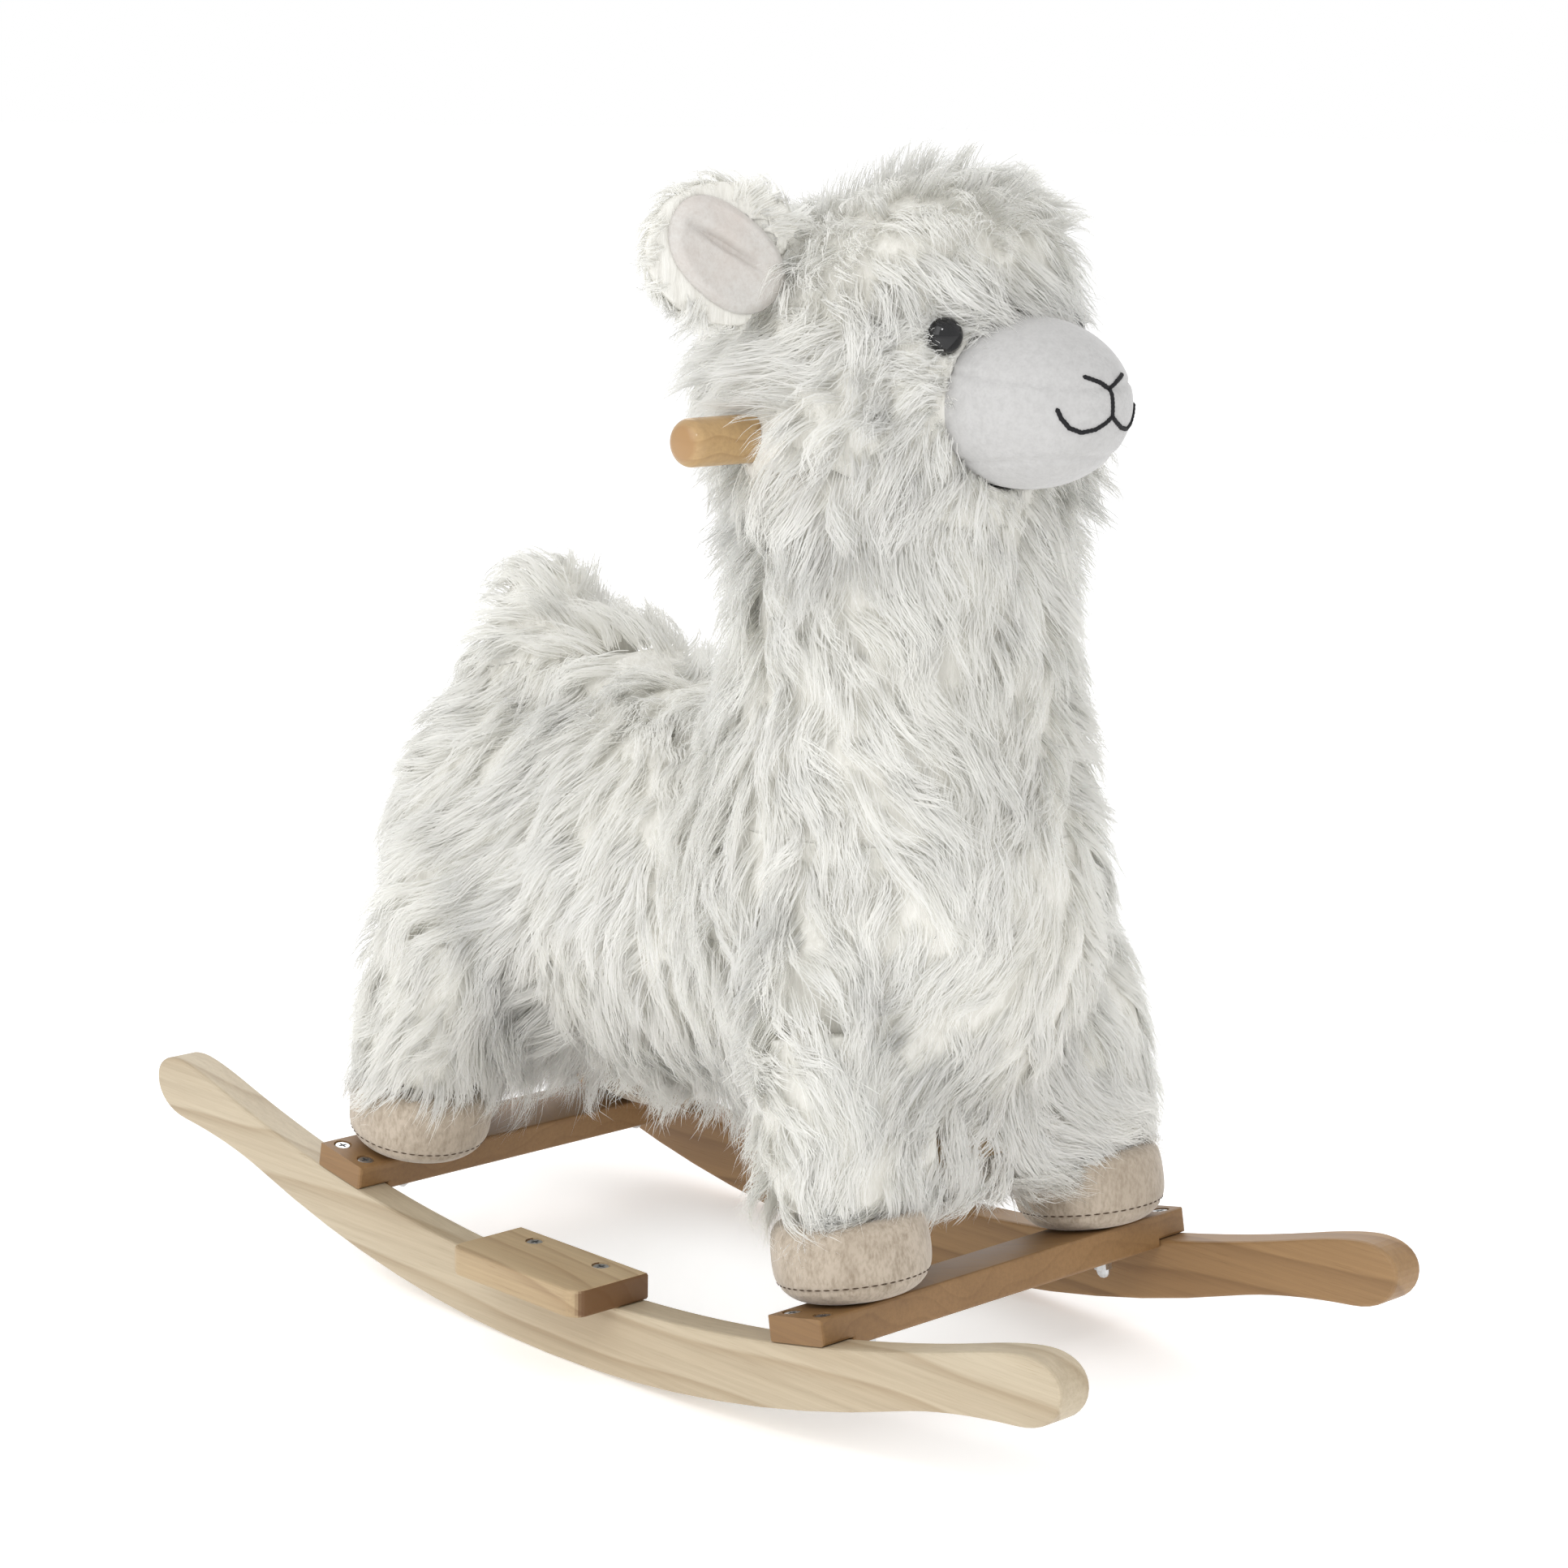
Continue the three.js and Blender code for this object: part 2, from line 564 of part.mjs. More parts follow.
for (const [name, side] of Object.entries(SIDES)) {
  animal.add(mesh(`${name}_ear`, ear(side), fur));
  animal.add(mesh(`${name}_ear_lining`, earLining(side), shortPlush));
  animal.add(mesh(`${name}_eye`, eye(side), blackPlastic));
  animal.add(mesh(`${name}_eye_washer`, washer(side), whitePlastic));
  for (const end of ENDS) {
    const boltHole = pin(BOLT_RADIUS + GAP, 0, side * HOOF_Y, 0, BAR_TOP + BOLT_DEPTH + 1, 12);
    const post = cut(solidOf(legPost(end, side * HOOF_Y)), solidOf(inBar(end, boltHole)));
    animal.add(mesh(`${end}_${name}_leg_post`, geometryOf(post), frameWood));
    animal.add(mesh(`${end}_${name}_leg`, geometryOf(cut(legSolid(end, side), grownTorso, hollow)), fur));
    animal.add(mesh(`${end}_${name}_hoof`, geometryOf(cut(hoofSolid(end, side), hollow)), hoofPlush));
  }
}
rocking.add(animal);

export default rocking;
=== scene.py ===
"""Looks for the plush alpaca rocker: wood, metal, plush covers, and long fur made of real strands.

Metres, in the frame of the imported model: +X towards the head, +Y to the animal's left, +Z up.
"""

import itertools
import math

import bmesh
import bpy
import numpy as np
from mathutils import Matrix, Vector
from mathutils.bvhtree import BVHTree


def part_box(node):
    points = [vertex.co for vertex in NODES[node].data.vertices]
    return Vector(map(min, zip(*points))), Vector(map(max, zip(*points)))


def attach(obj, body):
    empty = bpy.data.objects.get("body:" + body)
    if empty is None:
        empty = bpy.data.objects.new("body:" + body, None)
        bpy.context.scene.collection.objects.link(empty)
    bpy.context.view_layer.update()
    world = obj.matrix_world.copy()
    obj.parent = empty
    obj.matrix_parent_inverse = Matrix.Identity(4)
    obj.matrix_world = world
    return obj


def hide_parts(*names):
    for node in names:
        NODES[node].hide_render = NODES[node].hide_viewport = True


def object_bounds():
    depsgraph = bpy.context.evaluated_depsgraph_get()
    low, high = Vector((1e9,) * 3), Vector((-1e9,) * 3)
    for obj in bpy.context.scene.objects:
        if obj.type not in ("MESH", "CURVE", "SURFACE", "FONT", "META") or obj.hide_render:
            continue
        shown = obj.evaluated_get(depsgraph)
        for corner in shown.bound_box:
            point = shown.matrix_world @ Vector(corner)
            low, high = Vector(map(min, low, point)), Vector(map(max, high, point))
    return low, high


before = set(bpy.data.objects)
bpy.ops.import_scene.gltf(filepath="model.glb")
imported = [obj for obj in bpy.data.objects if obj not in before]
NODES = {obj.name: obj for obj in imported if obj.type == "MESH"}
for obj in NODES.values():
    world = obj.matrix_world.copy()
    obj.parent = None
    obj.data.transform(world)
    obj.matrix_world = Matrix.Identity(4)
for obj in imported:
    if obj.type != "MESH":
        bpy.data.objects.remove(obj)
CAD_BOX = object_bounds()
SIDES = {"right": -1, "left": 1}
ENDS = ("front", "rear")
TAU = 2 * math.pi
rng = np.random.default_rng(11)

# ---- camera, light and floor ----

# Fitted so that the straight wooden parts fall where the photograph shows them.
CAMERA_AT = (1.4013, -1.3213, 0.6675)
CAMERA_RIGHT = (0.69262, 0.72115, 0.01470)
CAMERA_UP = (-0.14632, 0.12051, 0.98187)
LENS_MM = 81.67


def make_camera():
    right, up = Vector(CAMERA_RIGHT).normalized(), Vector(CAMERA_UP).normalized()
    back = right.cross(up)
    data = bpy.data.cameras.new("camera")
    data.lens = LENS_MM
    data.clip_end = 200
    camera = bpy.data.objects.new("camera", data)
    turn = Matrix((right, up, back)).transposed().to_4x4()
    camera.matrix_world = Matrix.Translation(CAMERA_AT) @ turn
    bpy.context.scene.collection.objects.link(camera)
    bpy.context.scene.camera = camera


def area_light(name, at, size, power, aim=(0, 0, 0.3)):
    data = bpy.data.lights.new(name, "AREA")
    data.shape = "SQUARE"
    data.size = size
    data.energy = power
    light = bpy.data.objects.new(name, data)
    way = Vector(aim) - Vector(at)
    turn = way.to_track_quat("-Z", "Y").to_matrix().to_4x4()
    light.matrix_world = Matrix.Translation(at) @ turn
    bpy.context.scene.collection.objects.link(light)


def make_world(light, shown):
    """Even white light all round. Seen directly by the camera, it has its own strength."""
    world = bpy.data.worlds.new("studio")
    world.use_nodes = True
    tree = world.node_tree
    tree.nodes.clear()
    out = tree.nodes.new("ShaderNodeOutputWorld")
    mix = tree.nodes.new("ShaderNodeMixShader")
    path = tree.nodes.new("ShaderNodeLightPath")
    for slot, strength in ((1, light), (2, shown)):
        background = tree.nodes.new("ShaderNodeBackground")
        background.inputs["Color"].default_value = (1, 1, 1, 1)
        background.inputs["Strength"].default_value = strength
        tree.links.new(background.outputs[0], mix.inputs[slot])
    tree.links.new(path.outputs["Is Camera Ray"], mix.inputs[0])
    tree.links.new(mix.outputs[0], out.inputs[0])
    bpy.context.scene.world = world


# ---- materials ----


class Look:
    """A Principled material and short ways to wire nodes into it."""

    def __init__(self, name, **values):
        self.material = bpy.data.materials.new(name)
        self.material.use_nodes = True
        self.tree = self.material.node_tree
        self.tree.nodes.clear()
        self.out = self.node("OutputMaterial")
        self.shader = self.node("BsdfPrincipled")
        self.feed(self.out.inputs[0], self.shader.outputs[0])
        for key, value in values.items():
            self.feed(self.shader.inputs[key.replace("_", " ")], value)

    def node(self, kind, inputs=(), **settings):
        made = self.tree.nodes.new("ShaderNode" + kind)
        for key, value in settings.items():
            setattr(made, key, value)
        for key, value in dict(inputs).items():
            self.feed(made.inputs[key], value)
        return made

    def feed(self, socket, value):
        if isinstance(value, bpy.types.NodeSocket):
            self.tree.links.new(value, socket)
        else:
            socket.default_value = value

    def place(self, scale=(1, 1, 1), turn=(0, 0, 0)):
        coordinates = self.node("TexCoord").outputs["Object"]
        inputs = {"Vector": coordinates, "Scale": scale, "Rotation": turn}
        return self.node("Mapping", inputs).outputs[0]

    def noise(self, where, scale, detail, roughness=0.5):
        inputs = {"Vector": where, "Scale": scale, "Detail": detail, "Roughness": roughness}
        return self.node("TexNoise", inputs).outputs["Fac"]

    def math(self, operation, a, b=0.0):
        return self.node("Math", {0: a, 1: b}, operation=operation).outputs[0]

    def plus(self, a, b, share):
        """a, and this share of b."""
        return self.math("ADD", a, self.math("MULTIPLY", b, share))

    def ramp(self, value, stops):
        made = self.node("ValToRGB", {"Fac": value})
        elements = made.color_ramp.elements
        while len(elements) < len(stops):
            elements.new(0.5)
        for element, (at, colour) in zip(elements, stops):
            element.position = at
            element.color = (*colour, 1)
        return made.outputs[0]

    def blend(self, factor, a, b, mode="MIX"):
        made = self.node("Mix", data_type="RGBA", blend_type=mode)
        for index, value in ((0, factor), (6, a), (7, b)):
            self.feed(made.inputs[index], (*value, 1) if isinstance(value, tuple) else value)
        return made.outputs[2]

    def mask(self, value, low, high, most=1.0):
        """Nothing below low, and then rising to most at high."""
        return self.ramp(value, [(low, (0, 0, 0)), (high, (most,) * 3)])

    def colour(self, value):
        self.feed(self.shader.inputs["Base Color"], value)

    def mottle(self, noise, colour, dark):
        """The given colour, and this share of it where the noise is low."""
        self.colour(self.ramp(noise, [(0.3, tuple(c * dark for c in colour)), (0.7, colour)]))

    def let_through(self, colour, share):
        """Thin hair: this share of the light comes through from behind."""
        behind = self.node("BsdfTranslucent", {"Color": colour})
        mix = self.node("MixShader", {0: share, 1: self.shader.outputs[0], 2: behind.outputs[0]})
        self.feed(self.out.inputs[0], mix.outputs[0])

    def rough(self, value, low, high):
        made = self.node("MapRange", {0: value, 3: low, 4: high})
        self.feed(self.shader.inputs["Roughness"], made.outputs[0])

    def bump(self, height, strength, distance):
        inputs = {"Height": height, "Strength": strength, "Distance": distance}
        self.feed(self.shader.inputs["Normal"], self.node("Bump", inputs).outputs[0])


def wood(name, tones, along, lean, ring_pitch, line=0.5, end_grain=None, **values):
    """Sawn wood. The rings show as long lines along the grain, over fine fibres and pores."""
    light, middle, dark = tones
    look = Look(name, **values)
    turn = (0, lean, 0) if along == "X" else (0, 0, math.pi / 2 + lean)
    bent = look.noise(look.place((1.2, 5, 5), turn), 2.2, 2.0)
    straight = look.place((0.10, 1, 1), turn)
    parts = look.node("SeparateXYZ", {0: straight})
    depth = look.plus(look.plus(parts.outputs[2], parts.outputs[1], 0.8), bent, 0.075)
    rings = look.math("FRACT", look.math("DIVIDE", depth, ring_pitch))
    rings = look.ramp(rings, [(0, (0, 0, 0)), (0.72, (0.35,) * 3), (0.93, (1, 1, 1)), (1, (0, 0, 0))])
    fibres = look.noise(look.place((9, 420, 420), turn), 1.0, 4.0, 0.65)
    pores = look.noise(look.place((40, 1500, 1500), turn), 1.0, 2.0, 0.6)
    patches = look.noise(look.place((3, 16, 16), turn), 1.0, 3.0)
    base = look.blend(look.mask(patches, 0.35, 0.7), light, middle)
    base = look.blend(look.math("MULTIPLY", rings, line), base, dark)
    streak = look.ramp(fibres, [(0.3, (0.80, 0.77, 0.73)), (0.62, (1.05, 1.05, 1.05))])
    base = look.blend(0.65, base, streak, "MULTIPLY")
    base = look.blend(look.ramp(pores, [(0.28, (0.35,) * 3), (0.36, (0, 0, 0))]), base, dark)
    if end_grain:
        facing = look.node("SeparateXYZ", {0: look.node("NewGeometry").outputs["Normal"]})
        sawn = look.math("ABSOLUTE", facing.outputs["XYZ".index(along)])
        base = look.blend(look.mask(sawn, 0.7, 0.9, 0.9), base, end_grain)
    look.colour(base)
    look.rough(fibres, 0.42, 0.62)
    look.bump(look.plus(fibres, pores, 0.5), 0.12, 0.0006)
    return look.material


def metal(name, colour, roughness):
    look = Look(name, Metallic=1.0)
    scratch = look.noise(look.place((700, 700, 90)), 1.0, 3.0, 0.6)
    cloud = look.noise(look.place(), 260.0, 2.0)
    look.mottle(cloud, colour, 0.86)
    look.rough(scratch, roughness - 0.08, roughness + 0.12)
    look.bump(scratch, 0.08, 0.0002)
    return look.material


def plastic(name, colour, roughness, coat=0.0):
    look = Look(name, Coat_Weight=coat, Coat_Roughness=0.03, Specular_IOR_Level=0.35)
    cloud = look.noise(look.place(), 420.0, 2.0)
    look.mottle(cloud, colour, 0.8)
    look.rough(cloud, roughness * 0.85, roughness * 1.15)
    return look.material


def short_plush(name, colour, shade, tint=None, nap=(1, 1, 1), depth=0.0007):
    """Velvety pile: painted light on fine tufts and painted shade between them, with soft patches where
    the nap lies over, in the tint, or else in painted shade.
    """
    look = Look(name, Sheen_Weight=0.35, Sheen_Roughness=0.45, Specular_IOR_Level=0.15)
    tufts = look.noise(look.place(tuple(650 * n for n in nap)), 1.0, 3.0, 0.6)
    ridges = look.noise(look.place(tuple(220 * n for n in nap)), 1.0, 2.0, 0.55)
    patches = look.noise(look.place(), 26.0, 2.0)
    both = look.plus(look.math("MULTIPLY", tufts, 0.55), ridges, 0.45)
    # Painted light on the tufts, painted shade between them.
    base = look.ramp(both, [(0.32, shade), (0.58, colour)])
    # Patches where the nap lies over: the tint where one is given, or else painted shade.
    base = look.blend(look.mask(patches, 0.4, 0.75, 0.45), base, tint or shade)
    look.colour(base)
    look.rough(both, 0.95, 0.8)
    look.bump(both, 0.55, depth)
    return look.material


def fur_strand(name, root, tip, warm):
    """Long pile: warmer at the root, and darker there as painted shade for the depth of the pile, with
    strands of slightly different tone.
    """
    look = Look(name, Roughness=0.6, Sheen_Weight=0.15, Sheen_Roughness=0.4, Specular_IOR_Level=0.3)
    along = look.node("Attribute", attribute_name="along").outputs["Fac"]
    tone = look.node("Attribute", attribute_name="tone").outputs["Fac"]
    # The darker root colour is painted shade.
    base = look.ramp(along, [(0.0, root), (0.45, tip)])
    base = look.blend(look.math("MULTIPLY", tone, 0.5), base, warm)
    patches = look.noise(look.place(), 11.0, 2.0)
    base = look.blend(look.mask(patches, 0.45, 0.75, 0.35), base, warm)
    look.colour(base)
    look.let_through(base, 0.5)
    return look.material


def fur_cover(name, colour, shade):
    """The knitted backing and roots of the long pile, which show only between locks. Its colours are
    painted shade: darker than the strands, and darker still where the noise is low, for the depth between
    the locks.
    """
    look = Look(name, Roughness=0.95, Specular_IOR_Level=0.1)
    strands = look.noise(look.place((300, 300, 60)), 1.0, 3.0, 0.6)
    look.colour(look.ramp(strands, [(0.3, shade), (0.65, colour)]))
    look.bump(strands, 0.6, 0.002)
    return look.material


def thread(name, colour):
    look = Look(name, Roughness=0.7, Specular_IOR_Level=0.3)
    twist = look.noise(look.place(), 1400.0, 2.0)
    look.mottle(twist, colour, 0.5)
    look.bump(twist, 0.4, 0.0003)
    return look.material


# ---- mesh helpers ----


def repaint(made, material):
    made.data.materials.clear()
    made.data.materials.append(material)


def link(name, mesh, material):
    made = bpy.data.objects.new(name, mesh)
    bpy.context.scene.collection.objects.link(made)
    repaint(made, material)
    return made


def mesh_of(name, points, faces):
    mesh = bpy.data.meshes.new(name)
    mesh.from_pydata([tuple(p) for p in points], [], faces)
    mesh.shade_smooth()
    mesh.update()
    return mesh


def shape(name, points, faces, material):
    return link(name, mesh_of(name, points, faces), material)


def apply_modifiers(made):
    bpy.context.view_layer.update()
    graph = bpy.context.evaluated_depsgraph_get()
    mesh = bpy.data.meshes.new_from_object(made.evaluated_get(graph))
    made.modifiers.clear()
    made.data = mesh
    return made


def melt(made, voxel, rounds):
    """Turns the forms of an object into one even skin, and smooths it."""
    voxels = made.modifiers.new("voxels", "REMESH")
    voxels.mode = "VOXEL"
    voxels.voxel_size = voxel
    smooth = made.modifiers.new("smooth", "SMOOTH")
    smooth.factor = 0.5
    smooth.iterations = rounds
    return apply_modifiers(made)


def turned(profile, sides):
    """A shape turned about Z, from (radius, height) pairs that start and end on the axis."""
    points, rings = [], []
    for radius, height in profile:
        if radius < 1e-7:
            rings.append([len(points)])
            points.append((0, 0, height))
            continue
        rings.append(list(range(len(points), len(points) + sides)))
        for k in range(sides):
            angle = TAU * k / sides
            points.append((radius * math.cos(angle), radius * math.sin(angle), height))
    faces = []
    for low, high in zip(rings, rings[1:]):
        for k in range(sides):
            n = (k + 1) % sides
            if len(low) == 1:
                faces.append((low[0], high[n], high[k]))
            elif len(high) == 1:
                faces.append((low[k], low[n], high[0]))
            else:
                faces.append((low[k], low[n], high[n], high[k]))
    return np.array(points), faces


def points_of(mesh):
    co = np.zeros(len(mesh.vertices) * 3, np.float32)
    mesh.vertices.foreach_get("co", co)
    return co.reshape(-1, 3).astype(float)


def middle(node):
    lo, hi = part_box(node)
    return np.array((lo + hi) / 2)


def unit(v):
    return v / np.maximum(np.linalg.norm(v, axis=-1, keepdims=True), 1e-9)


def dot(a, b):
    return (a * b).sum(-1, keepdims=True)


class Surface:
    """Nearest point and smooth normal on a closed mesh."""

    def __init__(self, mesh):
        mesh.calc_loop_triangles()
        self.points = points_of(mesh)
        self.triangles = np.zeros(len(mesh.loop_triangles) * 3, np.int32)
        mesh.loop_triangles.foreach_get("vertices", self.triangles)
        self.triangles = self.triangles.reshape(-1, 3)
        self.tree = BVHTree.FromPolygons(self.points.tolist(), self.triangles.tolist())
        corners = self.points[self.triangles]
        cross = np.cross(corners[:, 1] - corners[:, 0], corners[:, 2] - corners[:, 0])
        self.areas = np.linalg.norm(cross, axis=1) / 2
        normals = np.zeros_like(self.points)
        for k in range(3):
            np.add.at(normals, self.triangles[:, k], cross)
        self.normals = unit(normals)

    def nearest(self, points):
        at, face = np.empty_like(points), np.empty(len(points), int)
        for k, p in enumerate(points.tolist()):
            where, _, index, _ = self.tree.find_nearest(p)
            at[k], face[k] = where, index
        return at, unit(self.normals[self.triangles[face]].mean(1))

    def scatter(self, pitch):
        """Points all over the surface, none nearer to another than the pitch."""
        count = int(self.areas.sum() / pitch**2 * 6)
        face = rng.choice(len(self.areas), count, p=self.areas / self.areas.sum())
        a, b = rng.random((2, count, 1))
        fold = (a + b) > 1
        a, b = np.where(fold, 1 - a, a), np.where(fold, 1 - b, b)
        corner = self.points[self.triangles[face]]
        tries = corner[:, 0] + a * (corner[:, 1] - corner[:, 0]) + b * (corner[:, 2] - corner[:, 0])
        cells, kept = {}, []
        for index, p in enumerate(tries.tolist()):
            cell = tuple(int(c // pitch) for c in p)
            around = itertools.product(*[(c - 1, c, c + 1) for c in cell])
            near = (q for other in around for q in cells.get(other, ()))
            if all(sum((s - t) ** 2 for s, t in zip(p, q)) >= pitch**2 for q in near):
                cells.setdefault(cell, []).append(p)
                kept.append(index)
        return tries[kept]


# ---- fur ----

COMB_STEPS = 8
RINGS = 4  # pairs of corners along a strand before its tip
CORNERS = 2 * RINGS + 1
SHARES = np.linspace(0, 1, RINGS + 1)  # of the way along a strand
GROUPS = 6  # the strands of a lock are gathered in this many groups
STRAND_WIDTHS = (0.75, 1.0, 0.9, 0.6)  # share of the half width at each pair
STRAND_HALF_WIDTH = 0.00027
STRAND_REACH = (0.35, 1.0)  # share of its lock's length that a strand has
STRAND_ROLL = 0.45  # radians, how unevenly the flat sides face out
ROOT_DEPTH = 0.002  # how far the roots reach into the cover
TRIANGLES = CORNERS - 2
SOFT_NORMALS = 0.8  # how far a strand takes its light as the body under it does
MOST_TRIANGLES = 190_000  # the most triangles in one piece; in one piece, below the size at which the export thins a mesh


def comb(surface, roots, flow, length, height, wave):
    """The centre line of each lock: out of the cover, over, and along it as flow says."""
    at, normal = surface.nearest(roots)
    start = normal
    path = [at]
    phase = rng.random((len(roots), 1))
    beat = rng.uniform(0.6, 1.5, (len(roots), 1))
    pace = length / COMB_STEPS
    for step in range(COMB_STEPS):
        share = (step + 1) / COMB_STEPS
        base, normal = surface.nearest(at)
        way = flow(at, normal)
        way = unit(way - dot(way, normal) * normal)
        side = np.cross(normal, way)
        goal = height * (1 - (1 - share) ** 2.2)
        lift = np.clip((goal - dot(at - base, normal)) / pace, -0.5, 1.6)
        sway = wave * np.sin(TAU * (beat * share + phase))
        at = at + unit(way + side * sway + normal * lift) * pace
        path.append(at)
    return np.stack(path, 1), start


def strand_centres(paths, normals, per_lock, spread, stray):
    """The strands' centre lines, gathered in groups and then in locks, and the way out of the cover."""
    locks, steps = paths.shape[0], paths.shape[1] - 1
    total = locks * per_lock
    owner = np.repeat(np.arange(locks), per_lock)
    group = owner * GROUPS + np.tile(np.arange(per_lock) % GROUPS, locks)
    up = normals[owner]
    across = unit(np.cross(up, (0.31, 0.52, 0.79)))
    other = np.cross(up, across)

    def in_disc(count, radius):
        angle, reach = TAU * rng.random((count, 1)), radius * np.sqrt(rng.random((count, 1)))
        return reach * np.cos(angle), reach * np.sin(angle)

    a, b = in_disc(locks * GROUPS, spread)
    gather = across * a[group] + other * b[group]
    a, b = in_disc(total, spread / 2)
    loose = across * a + other * b
    reach = rng.uniform(*STRAND_REACH, (total, 1))
    pinch = (0.05 + 0.5 * rng.random((locks, 1)) ** 1.5)[owner]
    astray = unit(rng.normal(size=(total, 3))) * stray * rng.random((total, 1)) ** 2
    centres = []
    for t in SHARES:
        s = np.clip(t * reach[:, 0] * steps, 0, steps - 1e-6)
        low = s.astype(int)
        part = (s - low)[:, None]
        centre = paths[owner, low] * (1 - part) + paths[owner, low + 1] * part
        centre = centre + gather * (1 - pinch * t**1.3) + loose * (1 - (0.45 + 0.5 * pinch) * t)
        centres.append(centre + astray * t**2 - up * ROOT_DEPTH * (1 - t))
    return np.stack(centres, 1), up


def ribbon_corners(centres, up):
    """The corners of a flat tapered strand round each centre line, and the normals they are lit by."""
    total = len(centres)
    along = unit(np.gradient(centres, axis=1))
    roll = rng.normal(0, STRAND_ROLL, (total, 1))
    lean = up * np.cos(roll) + unit(np.cross(along[:, 1], up)) * np.sin(roll)
    width = STRAND_HALF_WIDTH * rng.uniform(0.75, 1.25, (total, 1))
    points = np.empty((total, CORNERS, 3), np.float32)
    facing = np.empty((total, CORNERS, 3), np.float32)
    for ring in range(RINGS):
        side = unit(np.cross(along[:, ring], lean))
        own = np.cross(side, along[:, ring])
        half = width * STRAND_WIDTHS[ring]
        points[:, 2 * ring] = centres[:, ring] - side * half
        points[:, 2 * ring + 1] = centres[:, ring] + side * half
        soft = unit(up * SOFT_NORMALS + own * (1 - SOFT_NORMALS))
        facing[:, 2 * ring] = facing[:, 2 * ring + 1] = soft
    points[:, -1] = centres[:, RINGS]
    facing[:, -1] = facing[:, -2]
    return points, facing


def ribbon_mesh(name, points, facing):
    """One mesh of all the strands, with the share along each strand and a tone for each."""
    total = len(points)
    one = []
    for a in range(0, 2 * (RINGS - 1), 2):
        one += [(a, a + 1, a + 3), (a, a + 3, a + 2)]
    one.append((CORNERS - 3, CORNERS - 2, CORNERS - 1))
    triangles = (np.array(one)[None] + (np.arange(total) * CORNERS)[:, None, None]).reshape(-1)
    mesh = bpy.data.meshes.new(name)
    mesh.vertices.add(total * CORNERS)
    mesh.vertices.foreach_set("co", points.reshape(-1))
    mesh.loops.add(len(triangles))
    mesh.loops.foreach_set("vertex_index", triangles.astype(np.int32))
    mesh.polygons.add(len(triangles) // 3)
    mesh.polygons.foreach_set("loop_start", np.arange(0, len(triangles), 3, dtype=np.int32))
    mesh.update(calc_edges=True)
    free = mesh.attributes.new("custom_normal", "FLOAT_VECTOR", "POINT")
    free.data.foreach_set("vector", facing.reshape(-1))
    shares = np.tile(np.append(np.repeat(SHARES[:RINGS], 2), 1.0), total)
    tones = np.repeat(rng.random(total), CORNERS)
    for key, values in (("along", shares), ("tone", tones)):
        attribute = mesh.attributes.new(key, "FLOAT", "POINT")
        attribute.data.foreach_set("value", values.astype(np.float32))
    mesh.shade_smooth()
    return mesh


def grow_fur(name, paths, normals, per_lock, spread=0.0080, stray=0.012):
    """Strand pieces named name_1, name_2 and so on, each small enough to export whole."""
    most = MOST_TRIANGLES // (TRIANGLES * per_lock)
    order = np.argsort(paths[:, 0, 0] + 0.35 * paths[:, 0, 2])
    parts = max(1, math.ceil(len(paths) / most))
    for index, chosen in enumerate(np.array_split(order, parts)):
        part = f"{name}_{index + 1}" if parts > 1 else name
        centres, up = strand_centres(paths[chosen], normals[chosen], per_lock, spread, stray)
        points, facing = ribbon_corners(centres, up)
        piece = link(part, ribbon_mesh(part, points, facing), FUR)
        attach(piece, "root")


# ---- the plush body's cover, under the fur ----

PILE = 0.016  # how deep the fur lies over the cover
ROCKER_RADIUS = 1.063
CROSSBAR_X = {"front": 0.1925, "rear": -0.1862}
SKIN_VOXEL = 0.0045
COVER_GROWTH = 0.00013  # nearly closes the gap between one cover and the next


def square_to_bar(end):
    """Rows of points @ turn stand square on the tilted crossbar. Then @ turn.T takes them back."""
    tilt = math.asin(CROSSBAR_X[end] / ROCKER_RADIUS)
    return np.array(Matrix.Rotation(-tilt, 3, "Y"))


def half_circle(steps):
    return [(math.sin(math.pi * k / steps), -math.cos(math.pi * k / steps)) for k in range(steps + 1)]


def ball(at, radii, shrink):
    points, faces = turned(half_circle(32), 48)
    return points * (np.array(radii) - shrink) + np.array(at), faces


def block(lo, hi):
    points = [(x, y, z) for x in (lo.x, hi.x) for y in (lo.y, hi.y) for z in (lo.z, hi.z)]
    faces = [(0, 1, 3, 2), (4, 6, 7, 5), (0, 4, 5, 1), (2, 3, 7, 6), (0, 2, 6, 4), (1, 5, 7, 3)]
    return np.array(points), faces


